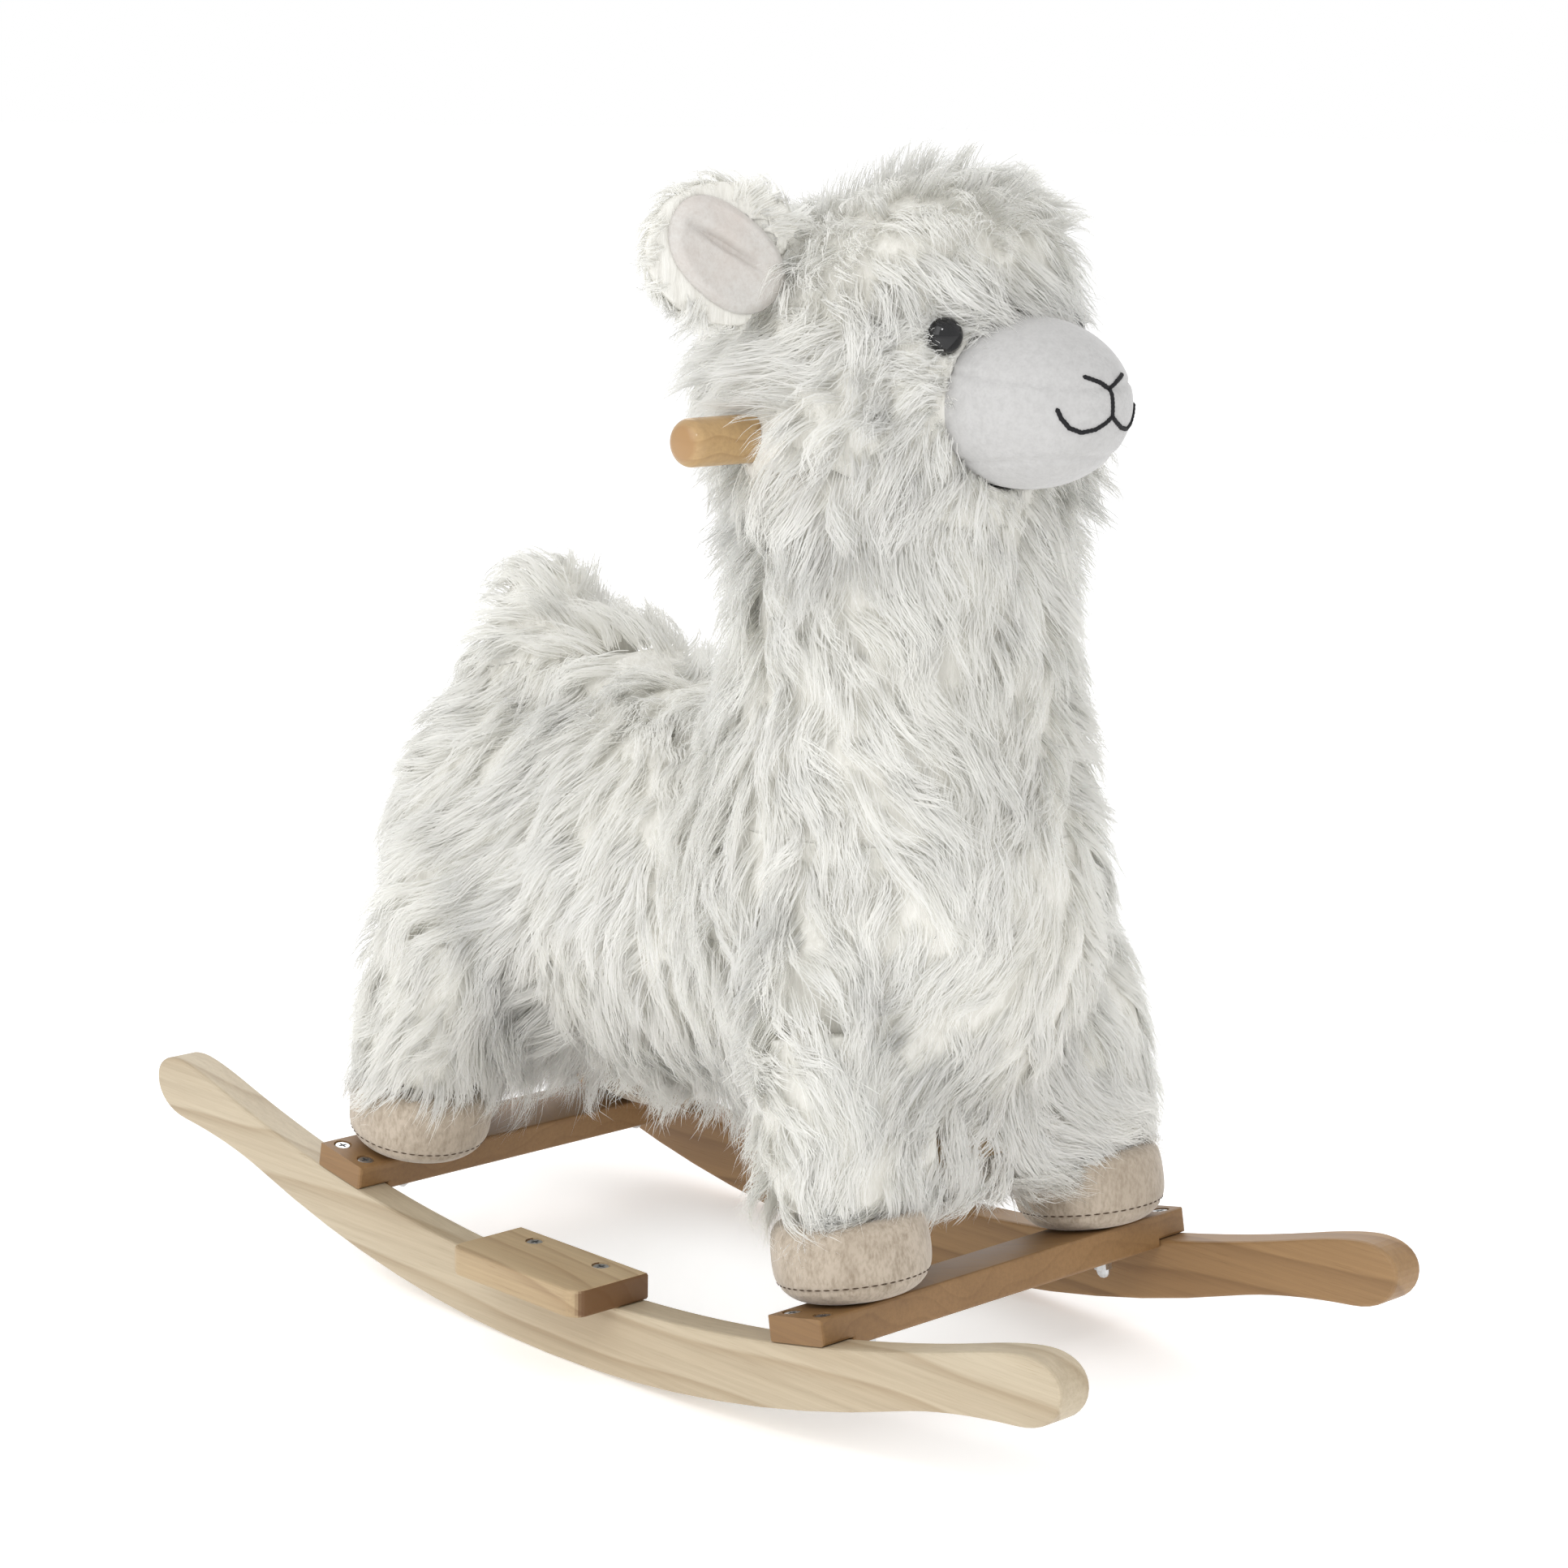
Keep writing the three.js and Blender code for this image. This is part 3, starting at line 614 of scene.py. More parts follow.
def body_forms():
    """Closed forms that overlap and together make the body under the fur."""
    torso_lo, torso_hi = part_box("torso")
    head_lo, head_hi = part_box("head")
    neck_lo, neck_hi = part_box("neck")
    tail_lo, tail_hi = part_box("tail")
    rear, front = torso_lo.x, torso_hi.x
    rump = ball((rear + 0.127, 0, 0.235), (0.127, 0.112, 0.122), PILE)
    belly = ball((rear + 0.247, 0, 0.243), (0.195, 0.108, 0.122), PILE)
    chest = ball((front - 0.141, 0, 0.252), (0.141, 0.116, 0.140), PILE)
    head_at = (head_lo.x + 0.114, 0, (head_lo.z + head_hi.z) / 2)
    head = ball(head_at, (0.114, 0.104, 0.110), PILE)
    cheeks = [ball((0.125, y, 0.495), (0.062, 0.062, 0.064), 0.004) for y in (0.042, -0.042)]
    forelock = ball((0.145, 0, 0.585), (0.056, 0.072, 0.046), 0.005)
    tail_tip = ball((tail_lo.x + 0.040, 0, tail_hi.z - 0.058), (0.040, 0.040, 0.058), PILE * 0.45)
    tail_root = ball((tail_lo.x + 0.038, 0, tail_lo.z - 0.008), (0.062, 0.062, 0.050), PILE)
    tail_to_back = ball((tail_lo.x + 0.095, 0, tail_lo.z - 0.002), (0.075, 0.060, 0.048), PILE)
    forms = [rump, belly, chest, head, *cheeks, forelock, tail_tip, tail_root, tail_to_back]
    for end in ENDS:
        lo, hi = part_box(f"{end}_frame_rail")
        forms.append(block(lo - Vector((0.012, 0.010, 0.011)), hi + Vector((0.012, 0.010, 0.02))))
    forms.append(neck_form((neck_lo.x + neck_hi.x) / 2))
    return forms + [leg_form(end, side) for end in ENDS for side in SIDES]


def neck_form(x):
    profile = [(0, 0.255), (0.090, 0.262), (0.113 - PILE, 0.30), (0.101 - PILE, 0.37)]
    profile += [(0.096 - PILE, 0.425), (0.094 - PILE, 0.52), (0, 0.53)]
    points, faces = turned(profile, 48)
    return points + np.array((x, 0, 0)), faces


def leg_form(end, side):
    """A post that tapers up into the body, square to the crossbar and over its hoof."""
    turn = square_to_bar(end)
    leg = points_of(NODES[f"{end}_{side}_leg"].data) @ turn
    hoof = points_of(NODES[f"{end}_{side}_hoof"].data) @ turn
    lo, hi = leg.min(0), leg.max(0)
    x, y, _ = (hoof.min(0) + hoof.max(0)) / 2
    radius, bottom = (hi[1] - lo[1]) / 2 - 0.012, lo[2] + 0.002
    shares = [(0, 0), (0.86, 0), (1, 0.016), (1, 0.06), (0.85, 0.095), (0.6, 0.13), (0, 0.16)]
    points, faces = turned([(radius * share, bottom + up) for share, up in shares], 40)
    return (points + np.array((x, y, 0))) @ turn.T, faces


def make_skin():
    points, faces = [], []
    for form_points, form_faces in body_forms():
        first = len(points)
        points += list(form_points)
        faces += [tuple(first + k for k in face) for face in form_faces]
    return melt(shape("skin_form", points, faces, COVER), SKIN_VOXEL, 30)


def merge_corners(mesh, distance, turn_out=False):
    """Merges the corners that share a place and, where asked, turns every face outwards."""
    work = bmesh.new()
    work.from_mesh(mesh)
    bmesh.ops.remove_doubles(work, verts=work.verts, dist=distance)
    if turn_out:
        bmesh.ops.recalc_face_normals(work, faces=work.faces)
    work.to_mesh(mesh)
    work.free()
    return mesh


def solid_copy(node, name):
    return link(name, merge_corners(NODES[node].data.copy(), 1e-6), COVER)


def inside_skin(node, skin):
    """What the CAD node and the skin have in common: the stuffed piece under its fur."""
    piece = solid_copy(node, node + "_cover")
    shared = piece.modifiers.new("shared", "BOOLEAN")
    shared.operation = "INTERSECT"
    shared.solver = "MANIFOLD"
    shared.object = skin
    grow = piece.modifiers.new("grow", "DISPLACE")
    grow.mid_level = 0
    grow.strength = COVER_GROWTH
    apply_modifiers(piece)
    repaint(piece, COVER)
    piece.data.shade_smooth()
    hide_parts(node)
    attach(piece, "root")
    return piece


FURRY = ["torso", "neck", "head", "tail"]
FURRY += [f"{end}_{side}_leg" for end in ENDS for side in SIDES]

# ---- build ----

make_camera()
make_world(light=0.88, shown=1.0)
area_light("key", (1.45, -1.65, 1.95), 0.3, 6, (0.1, 0, 0.4))
area_light("side", (0.3, -2.9, 2.0), 2.4, 31)
area_light("back", (-2.0, 2.2, 2.2), 2.0, 26)
bpy.context.scene.view_settings.view_transform = "Standard"

# Wood tones: light, middle and dark.
CREAM = ((0.55, 0.475, 0.35), (0.47, 0.38, 0.26), (0.29, 0.20, 0.108))
TAN = ((0.34, 0.205, 0.092), (0.28, 0.16, 0.066), (0.15, 0.075, 0.028))
BROWN = ((0.28, 0.157, 0.062), (0.23, 0.125, 0.046), (0.125, 0.058, 0.019))
SAND = ((0.52, 0.40, 0.245), (0.43, 0.31, 0.175), (0.25, 0.15, 0.07))
HONEY = ((0.52, 0.35, 0.165), (0.45, 0.285, 0.12), (0.28, 0.15, 0.05))
RAW = ((0.62, 0.46, 0.28), (0.54, 0.38, 0.21), (0.34, 0.21, 0.10))

RIGHT_ROCKER = wood("wood_right_rocker", CREAM, "X", 0.20, 0.030)
LEFT_ROCKER = wood("wood_left_rocker", TAN, "X", 0.16, 0.026)
FOOTREST = wood("wood_footrest", SAND, "X", 0.05, 0.014, end_grain=(0.125, 0.050, 0.012))
CROSSBAR = wood("wood_crossbar", BROWN, "Y", 0.015, 0.010, 0.22)
FRAME_WOOD = wood("wood_frame", RAW, "X", 0.04, 0.012)
LACQUER = {"Coat_Weight": 0.5, "Coat_Roughness": 0.15}
HANDLE = wood("wood_handle", HONEY, "Y", 0.03, 0.009, 0.4, (0.36, 0.20, 0.075), **LACQUER)
STEEL = metal("steel", (0.62, 0.63, 0.64), 0.28)
FACE = short_plush("plush_face", (0.53, 0.525, 0.52), (0.455, 0.45, 0.445))
LINING = short_plush("plush_lining", (0.61, 0.595, 0.57), (0.53, 0.50, 0.47), (0.57, 0.49, 0.44))
HOOF = short_plush("plush_hoof", (0.53, 0.455, 0.37), (0.33, 0.27, 0.205), nap=(1, 1, 0.45), depth=0.0011)
BLACK = plastic("black_gloss", (0.006, 0.006, 0.007), 0.08, 0.3)
WHITE = plastic("white_matte", (0.8, 0.8, 0.78), 0.5)
THREAD = thread("thread_black", (0.012, 0.012, 0.014))
BROWN_THREAD = thread("thread_brown", (0.10, 0.065, 0.04))
# The backing's colours are darker than the fur's: painted shade for the depth between the locks.
COVER = fur_cover("fur_backing", (0.81, 0.80, 0.755), (0.69, 0.675, 0.625))
# The root colour is darker than the tip's: painted shade for the depth of the pile.
FUR = fur_strand("fur_long", (0.95, 0.945, 0.91), (0.97, 0.97, 0.955), (0.95, 0.94, 0.895))

# By the end of a node's name. The rest of the nodes that show are steel.
PAINTS = {"right_rocker": RIGHT_ROCKER, "left_rocker": LEFT_ROCKER, "footrest": FOOTREST}
PAINTS |= {"crossbar": CROSSBAR, "washer": WHITE}
PAINTS |= dict.fromkeys(("post", "rail", "board"), FRAME_WOOD)
for name, node in NODES.items():
    repaint(node, next((PAINTS[end] for end in PAINTS if name.endswith(end)), STEEL))


def make_floor():
    """A wide pale floor, a hair under the rockers."""
    glow = {"Emission_Color": (1, 1, 1, 1), "Emission_Strength": 0.32}
    pale = (0.95, 0.95, 0.95, 1)
    look = Look("floor", Base_Color=pale, Roughness=0.9, Specular_IOR_Level=0.0, **glow)
    corners = [(-60, -60, 0), (60, -60, 0), (60, 60, 0), (-60, 60, 0)]
    floor = shape("floor", corners, [(0, 1, 2, 3)], look.material)
    floor.location.z = CAD_BOX[0].z - 0.0002


make_floor()

skin = make_skin()
skin_surface = Surface(skin.data)
covers = {node: inside_skin(node, skin) for node in FURRY}

# ---- face ----

MUZZLE_AT = np.array((0.203, 0, 0.521))
MUZZLE_RADII = np.array((0.057, 0.048, 0.045))
MUZZLE_SEAMS = ((0.016, 0.10), (-0.0285, -0.10))  # height over the middle, slope towards the nose
SEAM_HALF_WIDTH, SEAM_DEPTH = 0.0016, 0.022  # the depth is a share of the muzzle's size


def muzzle_points(points):
    """A stuffed muzzle from a round ball: flatter on top and below, and drawn in along its seams."""
    made = points * MUZZLE_RADII * (1 - 0.035 * points[:, 2:3] ** 2)
    for height, slope in MUZZLE_SEAMS:
        line = height - slope * np.maximum(made[:, 0:1], 0)
        near = np.exp(-(((made[:, 2:3] - line) / SEAM_HALF_WIDTH) ** 2))
        made = made * (1 - SEAM_DEPTH * near)
    return made + MUZZLE_AT


def make_muzzle():
    points, faces = turned(half_circle(120), 160)
    piece = shape("muzzle_cover", muzzle_points(points), faces, FACE)
    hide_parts("muzzle")
    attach(piece, "root")
    return piece


muzzle_surface = Surface(make_muzzle().data)

AHEAD_OF_NOSE = 0.4
# The stitched face, as seen from the front: distance to the side, and height.
NOSE_ARM = [(0.0, 0.5312), (0.0062, 0.5345), (0.0145, 0.5375)]
NOSE_LINE = [(0.0, 0.5315), (0.0, 0.5245), (0.0, 0.5175)]
SMILE = [(0.0, 0.5178), (0.004, 0.5148), (0.0095, 0.5118), (0.0165, 0.5105)]
SMILE += [(0.0225, 0.5128), (0.0265, 0.5175), (0.0285, 0.5225)]
STITCH_STEP = 0.0009
STITCH_HALF_WIDTH, STITCH_HALF_HEIGHT = 0.00112, 0.0009


def stitched_line(name, line, mirror):
    """Satin stitches along a line drawn on the front of the muzzle."""
    path = np.array([(y * mirror, z) for y, z in line])
    fine = []
    for a, b in zip(path, path[1:]):
        count = max(2, int(np.linalg.norm(b - a) / STITCH_STEP))
        fine += [a + (b - a) * k / count for k in range(count)]
    fine.append(path[-1])
    placed = []
    for y, z in fine:
        ahead = Vector((AHEAD_OF_NOSE, y, z))
        where, normal, _, _ = muzzle_surface.tree.ray_cast(ahead, Vector((-1, 0, 0)))
        placed.append((np.array(where), np.array(normal)))
    points, faces = [], []
    corners = 8
    for index, (where, normal) in enumerate(placed):
        way = unit(placed[min(index + 1, len(placed) - 1)][0] - placed[max(index - 1, 0)][0])
        side = unit(np.cross(normal, way))
        swell = 1.14 if index % 2 else 0.94  # fuller at every second ring, as stitches are
        if index in (0, len(placed) - 1):
            swell = 0.35
        for k in range(corners):
            angle = TAU * k / corners
            out = side * math.cos(angle) * STITCH_HALF_WIDTH
            out = out + normal * math.sin(angle) * STITCH_HALF_HEIGHT
            points.append(where + out * swell + normal * 0.0002)
    for index in range(len(placed) - 1):
        for k in range(corners):
            n = (k + 1) % corners
            a, b = index * corners, (index + 1) * corners
            faces.append((a + k, a + n, b + n, b + k))
    faces.append(tuple(reversed(range(corners))))
    faces.append(tuple(range(len(points) - corners, len(points))))
    piece = shape(name, points, faces, THREAD)
    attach(piece, "root")


stitched_line("nose_line", NOSE_LINE, 1)
for side, sign in SIDES.items():
    stitched_line(f"{side}_nose_arm", NOSE_ARM, sign)
    stitched_line(f"{side}_smile", SMILE, sign)

EYE_TURN, EYE_LIFT = 0.62, 0.1  # radians: out to the side, and up
EYE_RADIUS, EYE_DOME, EYE_STEM, EYE_STEM_RADIUS = 0.009, 0.0065, 0.013, 0.0024
EYE_BACK, EYE_EDGE = -0.0004, 0.0006


def make_eye(side):
    """A domed bead on a stem. Returns a point in the middle of the dome."""
    profile = [(0, -EYE_STEM), (EYE_STEM_RADIUS, -EYE_STEM)]
    profile += [(EYE_STEM_RADIUS, EYE_BACK), (EYE_RADIUS - EYE_EDGE, EYE_BACK)]
    for k in range(12):
        angle = math.pi / 2 * k / 12
        profile.append((EYE_RADIUS * math.cos(angle), EYE_DOME * math.sin(angle)))
    profile.append((0, EYE_DOME))
    points, faces = turned(profile, 48)
    outward = Matrix.Rotation(SIDES[side] * EYE_TURN, 3, "Z")
    turn = np.array(outward @ Matrix.Rotation(math.pi / 2 - EYE_LIFT, 3, "Y"))
    points = points @ turn.T
    shift = middle(f"{side}_eye") - (points.min(0) + points.max(0)) / 2
    eye = shape(f"{side}_eye_bead", points + shift, faces, BLACK)
    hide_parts(f"{side}_eye")
    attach(eye, "root")
    return shift + turn @ np.array((0, 0, EYE_DOME / 2))


eye_at = {side: make_eye(side) for side in SIDES}

# ---- ears ----

# In an ear's own frame, +X is the way its lining faces, +Y goes out to the tip and +Z up.
EAR_REACH = 0.0439  # from the ear's middle to the side of its box
EAR_TILT, EAR_TURN = 0.12, 0.3
EAR_VOXEL = 0.0022
EAR_FLAT = 0.0024  # the body is pressed flat in front of here
EAR_FRONT = 0.0015  # fur in front of here grows round the lining
LEAF_LEAN = 0.60  # the lining's long axis rises this much on its way out
LEAF_BACK = 0.0034


def ear_frame(side):
    lo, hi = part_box(f"{side}_ear")
    sign = SIDES[side]
    outer = hi.y if sign > 0 else lo.y
    at = Vector(((lo.x + hi.x) / 2, outer - sign * EAR_REACH, (lo.z + hi.z) / 2))
    turn = Matrix.Rotation(sign * EAR_TILT, 4, "X") @ Matrix.Rotation(sign * EAR_TURN, 4, "Z")
    return Matrix.Translation(at) @ turn @ Matrix.Diagonal((1, sign, 1, 1))


def to_row(matrix, points):
    m = np.array(matrix)
    return points @ m[:3, :3].T + m[:3, 3]


def leaf_share(y, z):
    """Distance from the middle of the ear's lining, as a share of the way to its edge."""
    along, across = y + LEAF_LEAN * z, z - LEAF_LEAN * y
    reach = np.where(along > 0, 0.0430, 0.0390)
    half = np.where(across > 0, 0.0235, 0.0295)
    return ((np.abs(along) / reach) ** 2.3 + (np.abs(across) / half) ** 2.3) ** (1 / 2.3)


def leaf_point(angle, share):
    y, z = math.cos(angle), math.sin(angle)
    reach = share / float(leaf_share(np.array(y), np.array(z)))
    return y * reach, z * reach


def leaf_height(y, z, share):
    """How far the lining stands out: a shallow dish, with a fold, a roll beside it and a sunken edge."""
    crease = z - 0.002 - 0.42 * y
    inner = max(0.0, 1 - ((y - 0.004) / 0.024) ** 2)
    fold = inner * math.exp(-((crease / 0.0022) ** 2)) * 0.0055
    roll = inner * math.exp(-(((crease - 0.006) / 0.006) ** 2)) * 0.0022
    dish = 0.0062 + 0.0030 * share**2 - 0.0050 * (max(0.0, share - 0.80) / 0.20) ** 2
    return dish - fold + roll


def make_ear_body(side, place):
    """The furry body of the ear, pressed flat where the lining lies on it."""
    node = f"{side}_ear"
    body = melt(solid_copy(node, node + "_cover"), EAR_VOXEL, 8)
    back = place.inverted()
    for vertex in body.data.vertices:
        local = back @ vertex.co
        local.x = min(local.x, EAR_FLAT + 0.1 * (local.x - EAR_FLAT))
        vertex.co = place @ local
    body.data.shade_smooth()
    repaint(body, COVER)
    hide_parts(node)
    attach(body, "root")
    return body


def make_ear_lining(side, place):
    rings, spokes = 40, 96
    front, back = [], []
    for ring in range(rings + 1):
        for spoke in range(spokes):
            y, z = leaf_point(TAU * spoke / spokes, ring / rings)
            front.append((leaf_height(y, z, ring / rings), y, z))
            back.append((LEAF_BACK, y * 0.97, z * 0.97))
    faces = []
    half, edge = len(front), rings * spokes
    steps = [(k, (k + 1) % spokes) for k in range(spokes)]
    for a in range(0, edge, spokes):
        b = a + spokes
        for k, n in steps:
            faces.append((a + k, b + k, b + n, a + n))
            faces.append((half + a + n, half + b + n, half + b + k, half + a + k))
    faces += [(edge + n, edge + k, half + edge + k, half + edge + n) for k, n in steps]
    name = f"{side}_ear_lining_cover"
    mesh = mesh_of(name, to_row(place, np.array(front + back)), faces)
    merge_corners(mesh, 1e-7, turn_out=True).shade_smooth()
    lining = link(name, mesh, LINING)
    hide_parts(f"{side}_ear_lining")
    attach(lining, "root")


# ---- hooves ----

# Shares of the hoof's radius and of its height, from the middle of the sole up.
HOOF_PROFILE = [(0.0, 0.0), (0.45, 0.0), (0.63, 0.015), (0.77, 0.06), (0.875, 0.14), (0.93, 0.21)]
HOOF_PROFILE += [(0.985, 0.32), (1.0, 0.46), (1.0, 0.62), (0.99, 0.78), (0.96, 0.92), (0.86, 1.0)]
HOOF_PROFILE += [(0.0, 1.0)]
HOOF_SEAM, SEAM_GROOVE = 0.235, 0.022
HOOF_STITCHES, STITCHES_AT = 50, HOOF_SEAM + 0.035
HOOF_STITCH_LENGTH, HOOF_THREAD = 0.0036, 0.00042
STITCH_SHAPE = ((-0.5, 0.3), (-0.25, 1), (0, 1.15), (0.25, 1), (0.5, 0.3))  # along it, and how thick


def smooth_profile(profile, count):
    """The profile resampled, with its corners rounded a little."""
    p = np.array(profile)
    length = np.append(0, np.cumsum(np.linalg.norm(np.diff(p, axis=0), axis=1)))
    s = np.linspace(0, length[-1], count)
    q = np.stack([np.interp(s, length, p[:, 0]), np.interp(s, length, p[:, 1])], 1)
    for _ in range(6):
        q[1:-1] = (q[:-2] + 2 * q[1:-1] + q[2:]) / 4
    q[0, 0] = q[-1, 0] = 0
    return q


def stitch_ring(centre, reach):
    """Points and faces of the raised stitches round a hoof."""
    corners, span = 6, HOOF_STITCH_LENGTH / reach
    points, faces = [], []
    for k in range(HOOF_STITCHES):
        first = len(points)
        for bit, thick in STITCH_SHAPE:
            a = TAU * k / HOOF_STITCHES + bit * span
            out = np.array((math.cos(a), math.sin(a), 0))
            here = out * reach + centre
            for c in range(corners):
                beta = TAU * c / corners
                offset = out * math.cos(beta) + np.array((0, 0, 1)) * math.sin(beta)
                points.append(here + offset * HOOF_THREAD * thick - out * 0.0001)
        last = len(points) - corners
        for p in range(first, last, corners):
            q = p + corners
            for c in range(corners):
                n = (c + 1) % corners
                faces.append((p + c, q + c, q + n, p + n))
        faces.append(tuple(first + c for c in range(corners)))
        faces.append(tuple(last + c for c in reversed(range(corners))))
    return np.array(points), faces


def make_hoof(end, side):
    """A hoof with a groove where its sole is sewn on, and a row of stitches just above it."""
    node = f"{end}_{side}_hoof"
    turn = square_to_bar(end)
    local = points_of(NODES[node].data) @ turn
    lo, hi = local.min(0), local.max(0)
    radius, height = (hi[1] - lo[1]) / 2, hi[2] - lo[2]
    x, y, _ = (lo + hi) / 2
    profile = smooth_profile(HOOF_PROFILE, 90)[1:-1]
    made = [(0, 0)]
    for share, up in profile:
        groove = SEAM_GROOVE * math.exp(-(((up - HOOF_SEAM) / SEAM_GROOVE) ** 2))
        made.append(((share - groove) * radius, up * height))
    made.append((0, height))
    points, faces = turned(made, 128)
    points = points + np.array((x, y, lo[2]))
    piece = shape(node + "_cover", points @ turn.T, faces, HOOF)
    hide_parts(node)
    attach(piece, "root")

    reach = np.interp(STITCHES_AT, profile[:, 1], profile[:, 0]) * radius
    points, faces = stitch_ring(np.array((x, y, lo[2] + STITCHES_AT * height)), reach)
    stitching = shape(node + "_stitching", points @ turn.T, faces, BROWN_THREAD)
    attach(stitching, "root")


for end in ENDS:
    for side in SIDES:
        make_hoof(end, side)

# ---- handle ----


def make_handle():
    lo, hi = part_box("handle")
    half, radius, rounding = (hi.y - lo.y) / 2, (hi.z - lo.z) / 2, 0.0075
    profile = [(0, -half)]
    for k in range(1, 9):
        angle = math.pi / 2 * k / 8
        inset, along = rounding * (1 - math.sin(angle)), rounding * (1 - math.cos(angle))
        profile.append((radius - inset, along - half))
    profile += [(r, -z) for r, z in reversed(profile)]
    points, faces = turned(profile, 64)
    points = points[:, [0, 2, 1]] * np.array((1, -1, 1)) + middle("handle")
    piece = shape("handle_dowel", points, faces, HANDLE)
    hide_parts("handle")
    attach(piece, "root")


make_handle()

# ---- combing ----

NOISE_WAVES = 12


def bump_noise(points, pitch, seed):
    """A smooth random value between about -1 and 1 at each point."""
    own = np.random.default_rng(seed)
    total = np.zeros((len(points), 1))
    for _ in range(NOISE_WAVES):
        way = unit(own.normal(size=3)) * TAU / pitch * own.uniform(0.6, 1.5)
        total += np.sin(points @ way + own.random() * TAU)[:, None]
    return total / math.sqrt(NOISE_WAVES)


def smoothstep(x, low, high):
    t = np.clip((x - low) / (high - low), 0, 1)
    return t * t * (3 - 2 * t)


def columns(points):
    return points[:, :1], points[:, 1:2], points[:, 2:3]


def eye_gap(points):
    """Distance from each point to the nearer eye."""
    return np.min([np.linalg.norm(points - at, axis=1) for at in eye_at.values()], axis=0)


def muzzle_gap(points):
    """Distance from each point to the muzzle, as a share of the muzzle's radius."""
    return np.linalg.norm((points - MUZZLE_AT) / MUZZLE_RADII, axis=1) - 1


def flow(points, normals):
    """Which way the fur lies at each point."""
    x, y, z = columns(points)
    # The body: down, away from its middle and out to the sides.
    fan = np.clip((x + 0.06) / 0.16, -1.1, 0.8)
    outward = np.sign(y) * np.clip(np.abs(y) / 0.05, 0, 1)
    way = np.concatenate((fan * 0.75, outward * 0.7, -1 + 0 * z), 1)
    # The tail: back over its top. The neck: down.
    tail = smoothstep(z, 0.345, 0.375) * (1 - smoothstep(x, -0.02, 0.04))
    over_tail = np.concatenate((-1 + 0 * x, 10 * y, 0 * z - 0.25), 1)
    way = way * (1 - tail) + over_tail * tail
    neck = smoothstep(x, 0.02, 0.05) * smoothstep(z, 0.31, 0.36)
    way = way * (1 - neck) + np.array((0.15, 0, -1)) * neck
    # The head: away from the muzzle and, on the crown, out of a whorl.
    head = smoothstep(z, 0.44, 0.50)
    away = unit(points - (MUZZLE_AT + np.array((-0.01, 0, 0.005))))
    away = away + np.array((0.1, 0, -1.3)) * (1 - smoothstep(z, 0.50, 0.57))
    crown = smoothstep(z, 0.535, 0.575)
    whorl = unit(points - np.array((0.095, 0, 0.600)) + np.array((0, 0, 1e-6)))
    whorl = whorl + np.array((0.35, 0, -0.35))
    away = away * (1 - crown) + whorl * crown
    way = way * (1 - head) + away * head
    for eye in eye_at.values():
        gap = points - eye
        distance = np.linalg.norm(gap, axis=1, keepdims=True)
        way = way + unit(gap) * 1.6 * np.exp(-((distance / 0.015) ** 2))
    tousle = 0.95 + 0.25 * smoothstep(x, 0.02, 0.1)
    swirl = tousle * (0.45 * bump_noise(points, 0.12, 3) + 0.5 * bump_noise(points, 0.045, 5))
    side = np.cross(normals, unit(way))
    return unit(way) + side * swirl


BARE_MUZZLE, BARE_EYE, BARE_HANDLE = 0.0005, 0.0104, 0.0135  # how far the fur keeps off


def clear_roots(points):
    """Which roots are clear of the muzzle, the eyes and the handle."""
    muzzle_share = (points - MUZZLE_AT) / (MUZZLE_RADII + BARE_MUZZLE)
    handle = middle("handle")
    handle_gap = np.hypot(points[:, 0] - handle[0], points[:, 2] - handle[2])
    clear = ((muzzle_share**2).sum(1) > 1) & (eye_gap(points) > BARE_EYE)
    return clear & (handle_gap > BARE_HANDLE)


# ---- body and face fur ----

PITCH = 0.0108  # from one lock to the next
PER_LOCK = 68
WAVES = (0.05, 0.5)  # how far a lock winds from side to side


def body_roots():
    """Roots all over the body, and a second set between the front legs, where the frame is near."""
    roots = skin_surface.scatter(PITCH)
    roots = roots[clear_roots(roots)]
    chest_hem = roots[(roots[:, 0] > 0.10) & (roots[:, 2] < 0.175) & (np.abs(roots[:, 1]) < 0.08)]
    return np.concatenate((roots, chest_hem + rng.normal(0, 0.003, chest_hem.shape)))


def covers_under(points):
    """The name of the node on whose cover each point lies."""
    trees = {node: Surface(cover.data).tree for node, cover in covers.items()}
    names = []
    for p in points.tolist():
        gaps = {node: tree.find_nearest(p)[3] for node, tree in trees.items()}
        names.append(min(gaps, key=gaps.get))
    return np.array(names)


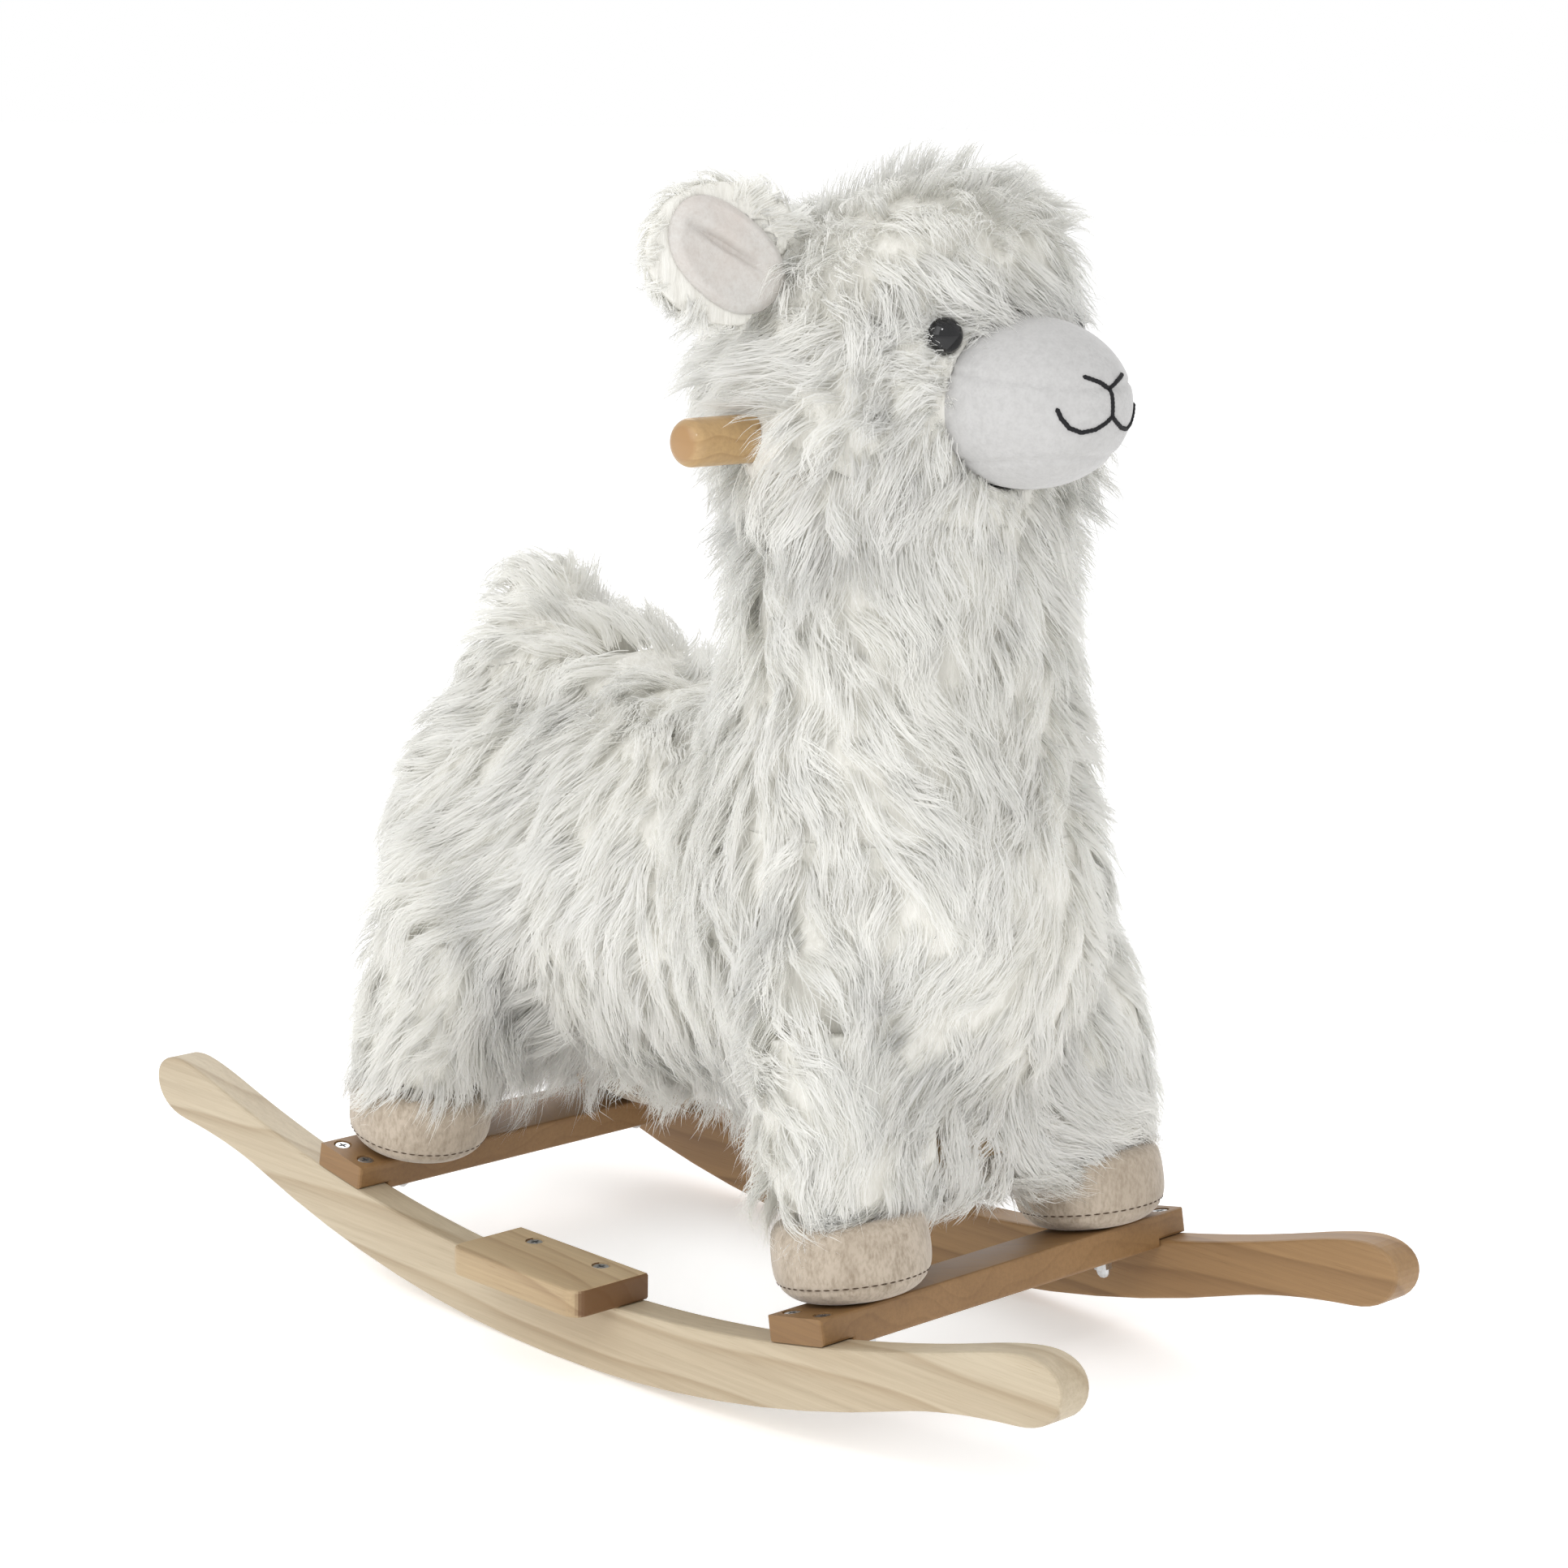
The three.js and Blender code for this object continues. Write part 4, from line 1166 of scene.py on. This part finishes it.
def pile(at, region):
    """Length of the body's locks, and how high they stand off the cover, at each root."""
    length = rng.uniform(0.038, 0.060, (len(at), 1))
    height = rng.uniform(0.010, 0.020, (len(at), 1))
    x, y, z = columns(at)
    # Shorter round the eyes and the muzzle, and fuller on the crown and the cheeks.
    close = np.minimum(eye_gap(at)[:, None] / 0.040, 0.55 + muzzle_gap(at)[:, None] * 3)
    close = np.clip(close, 0.4, 1)
    on_head = smoothstep(z, 0.46, 0.52)
    length = length * (1 - on_head + 0.88 * on_head * close)
    crown = smoothstep(z, 0.56, 0.60) * smoothstep(x, 0.06, 0.12)
    cheek = smoothstep(x, 0.05, 0.09) * smoothstep(np.abs(y), 0.045, 0.075)
    cheek = cheek * smoothstep(z, 0.42, 0.45) * (1 - smoothstep(z, 0.53, 0.56))
    height = height * (1 + 0.35 * crown + 0.8 * cheek) * (0.45 + 0.55 * close)
    # Fuller on the nape and the tail, and flatter on the rump and the chest.
    nape = (1 - smoothstep(x, 0.01, 0.07)) * smoothstep(x, -0.06, -0.01) * smoothstep(z, 0.38, 0.43)
    height = height * (1 + 0.9 * nape)
    rump = smoothstep(-x, 0.15, 0.25)
    chest = smoothstep(x, 0.15, 0.20) * (1 - smoothstep(z, 0.26, 0.32))
    height = height * (1 - 0.6 * rump) * (1 - 0.55 * chest)
    height = np.where((region == "tail")[:, None], height * 1.05, height)
    # Longer under the belly, shorter under the chest, and flared at the hems of the legs.
    legs = np.array([name.endswith("leg") for name in region])[:, None]
    below = (1 - smoothstep(z, 0.13, 0.19)) * (1 - legs)
    belly = below * (1 - smoothstep(x, 0.05, 0.11))
    length = length * (1 + 0.15 * belly - 0.38 * (below - belly))
    height = height * (1 + 1.3 * belly)
    hem = legs * (1 - smoothstep(z, 0.115, 0.15))
    length = np.where(legs, length * (0.9 - 0.05 * hem), length)
    height = np.where(legs, height * (0.8 + 0.8 * hem), height)
    return length, height


def grow_body_fur():
    roots = body_roots()
    at, _ = skin_surface.nearest(roots)
    region = covers_under(at)
    length, height = pile(at, region)
    wave = rng.uniform(*WAVES, (len(roots), 1))
    paths, starts = comb(skin_surface, roots, flow, length, height, wave)
    for node in FURRY:
        chosen = region == node
        grow_fur(f"{node}_fur", paths[chosen], starts[chosen], PER_LOCK)


def grow_face_fur():
    """Short fine fur round the eyes and the muzzle. Returns its roots."""
    fine = skin_surface.scatter(PITCH * 0.5)
    fine = fine[clear_roots(fine)]
    on_face = (eye_gap(fine) < 0.045) | (muzzle_gap(fine) < 0.6)
    fine = fine[on_face & (fine[:, 2] > 0.44)]
    size = (len(fine), 1)
    length, height = rng.uniform(0.015, 0.026, size), rng.uniform(0.004, 0.010, size)
    wave = rng.uniform(*WAVES, size)
    paths, starts = comb(skin_surface, fine, flow, length, height, wave)
    grow_fur("face_fur", paths, starts, 22, spread=0.0042, stray=0.006)
    return fine


def grow_muzzle_edge(roots):
    """Short hairs along the edge of the muzzle, which lie forward over it."""
    edge = roots[muzzle_gap(roots) < 0.13]
    out = unit((edge - MUZZLE_AT) / MUZZLE_RADII**2)
    ahead = unit(np.array((1.0, 0, 0)) - out * out[:, :1])
    way = unit(ahead + out * 0.5 + rng.normal(0, 0.28, out.shape))
    way = way * rng.uniform(0.007, 0.014, (len(edge), 1))
    share = np.linspace(0, 1, COMB_STEPS + 1)[None, :, None]
    droop = np.array((0, 0, 0.0025)) * share**2
    paths = (edge - out * 0.001)[:, None] + way[:, None] * share - droop
    grow_fur("muzzle_edge_fur", paths, out, 32, spread=0.0040, stray=0.004)


grow_body_fur()
grow_muzzle_edge(grow_face_fur())
bpy.data.objects.remove(skin)

# ---- ear fur ----


def grow_ear_fur(side):
    place = ear_frame(side)
    body = make_ear_body(side, place)
    make_ear_lining(side, place)
    surface = Surface(body.data)
    back = place.inverted()
    spots = surface.scatter(PITCH * 0.62)
    x, y, z = to_row(back, spots).T
    spots = spots[(x <= EAR_FRONT) | (leaf_share(y, z) > 0.97)]
    turn = np.array(place.to_3x3())
    outward, rim = turn @ np.array((-0.15, 1, 0)), turn @ np.array((0, 0, 1.0))

    def ear_flow(points, normals):
        x, y, z = columns(to_row(back, points))
        up_down = np.clip(z / 0.036, -1, 1)
        way = outward + np.array((0, 0, -0.7)) + rim * up_down * 1.2
        front = (x > EAR_FRONT) * 1.0
        radial = y * outward + z * rim
        way = way * (1 - front) + (unit(radial) + np.array((0, 0, -0.2))) * front
        return unit(way) + np.cross(normals, unit(way)) * 0.45 * bump_noise(points, 0.05, 9)

    size = (len(spots), 1)
    front = (to_row(back, spots)[:, :1] > EAR_FRONT) * 1.0
    length = rng.uniform(0.018, 0.032, size) * (1 - 0.15 * front)
    height = rng.uniform(0.003, 0.008, size) * (1 + 0.2 * front)
    wave = rng.uniform(0.1, 0.6, size)
    paths, starts = comb(surface, spots, ear_flow, length, height, wave)
    grow_fur(f"{side}_ear_fur", paths, starts, 30, spread=0.0045, stray=0.006)


for side in SIDES:
    grow_ear_fur(side)
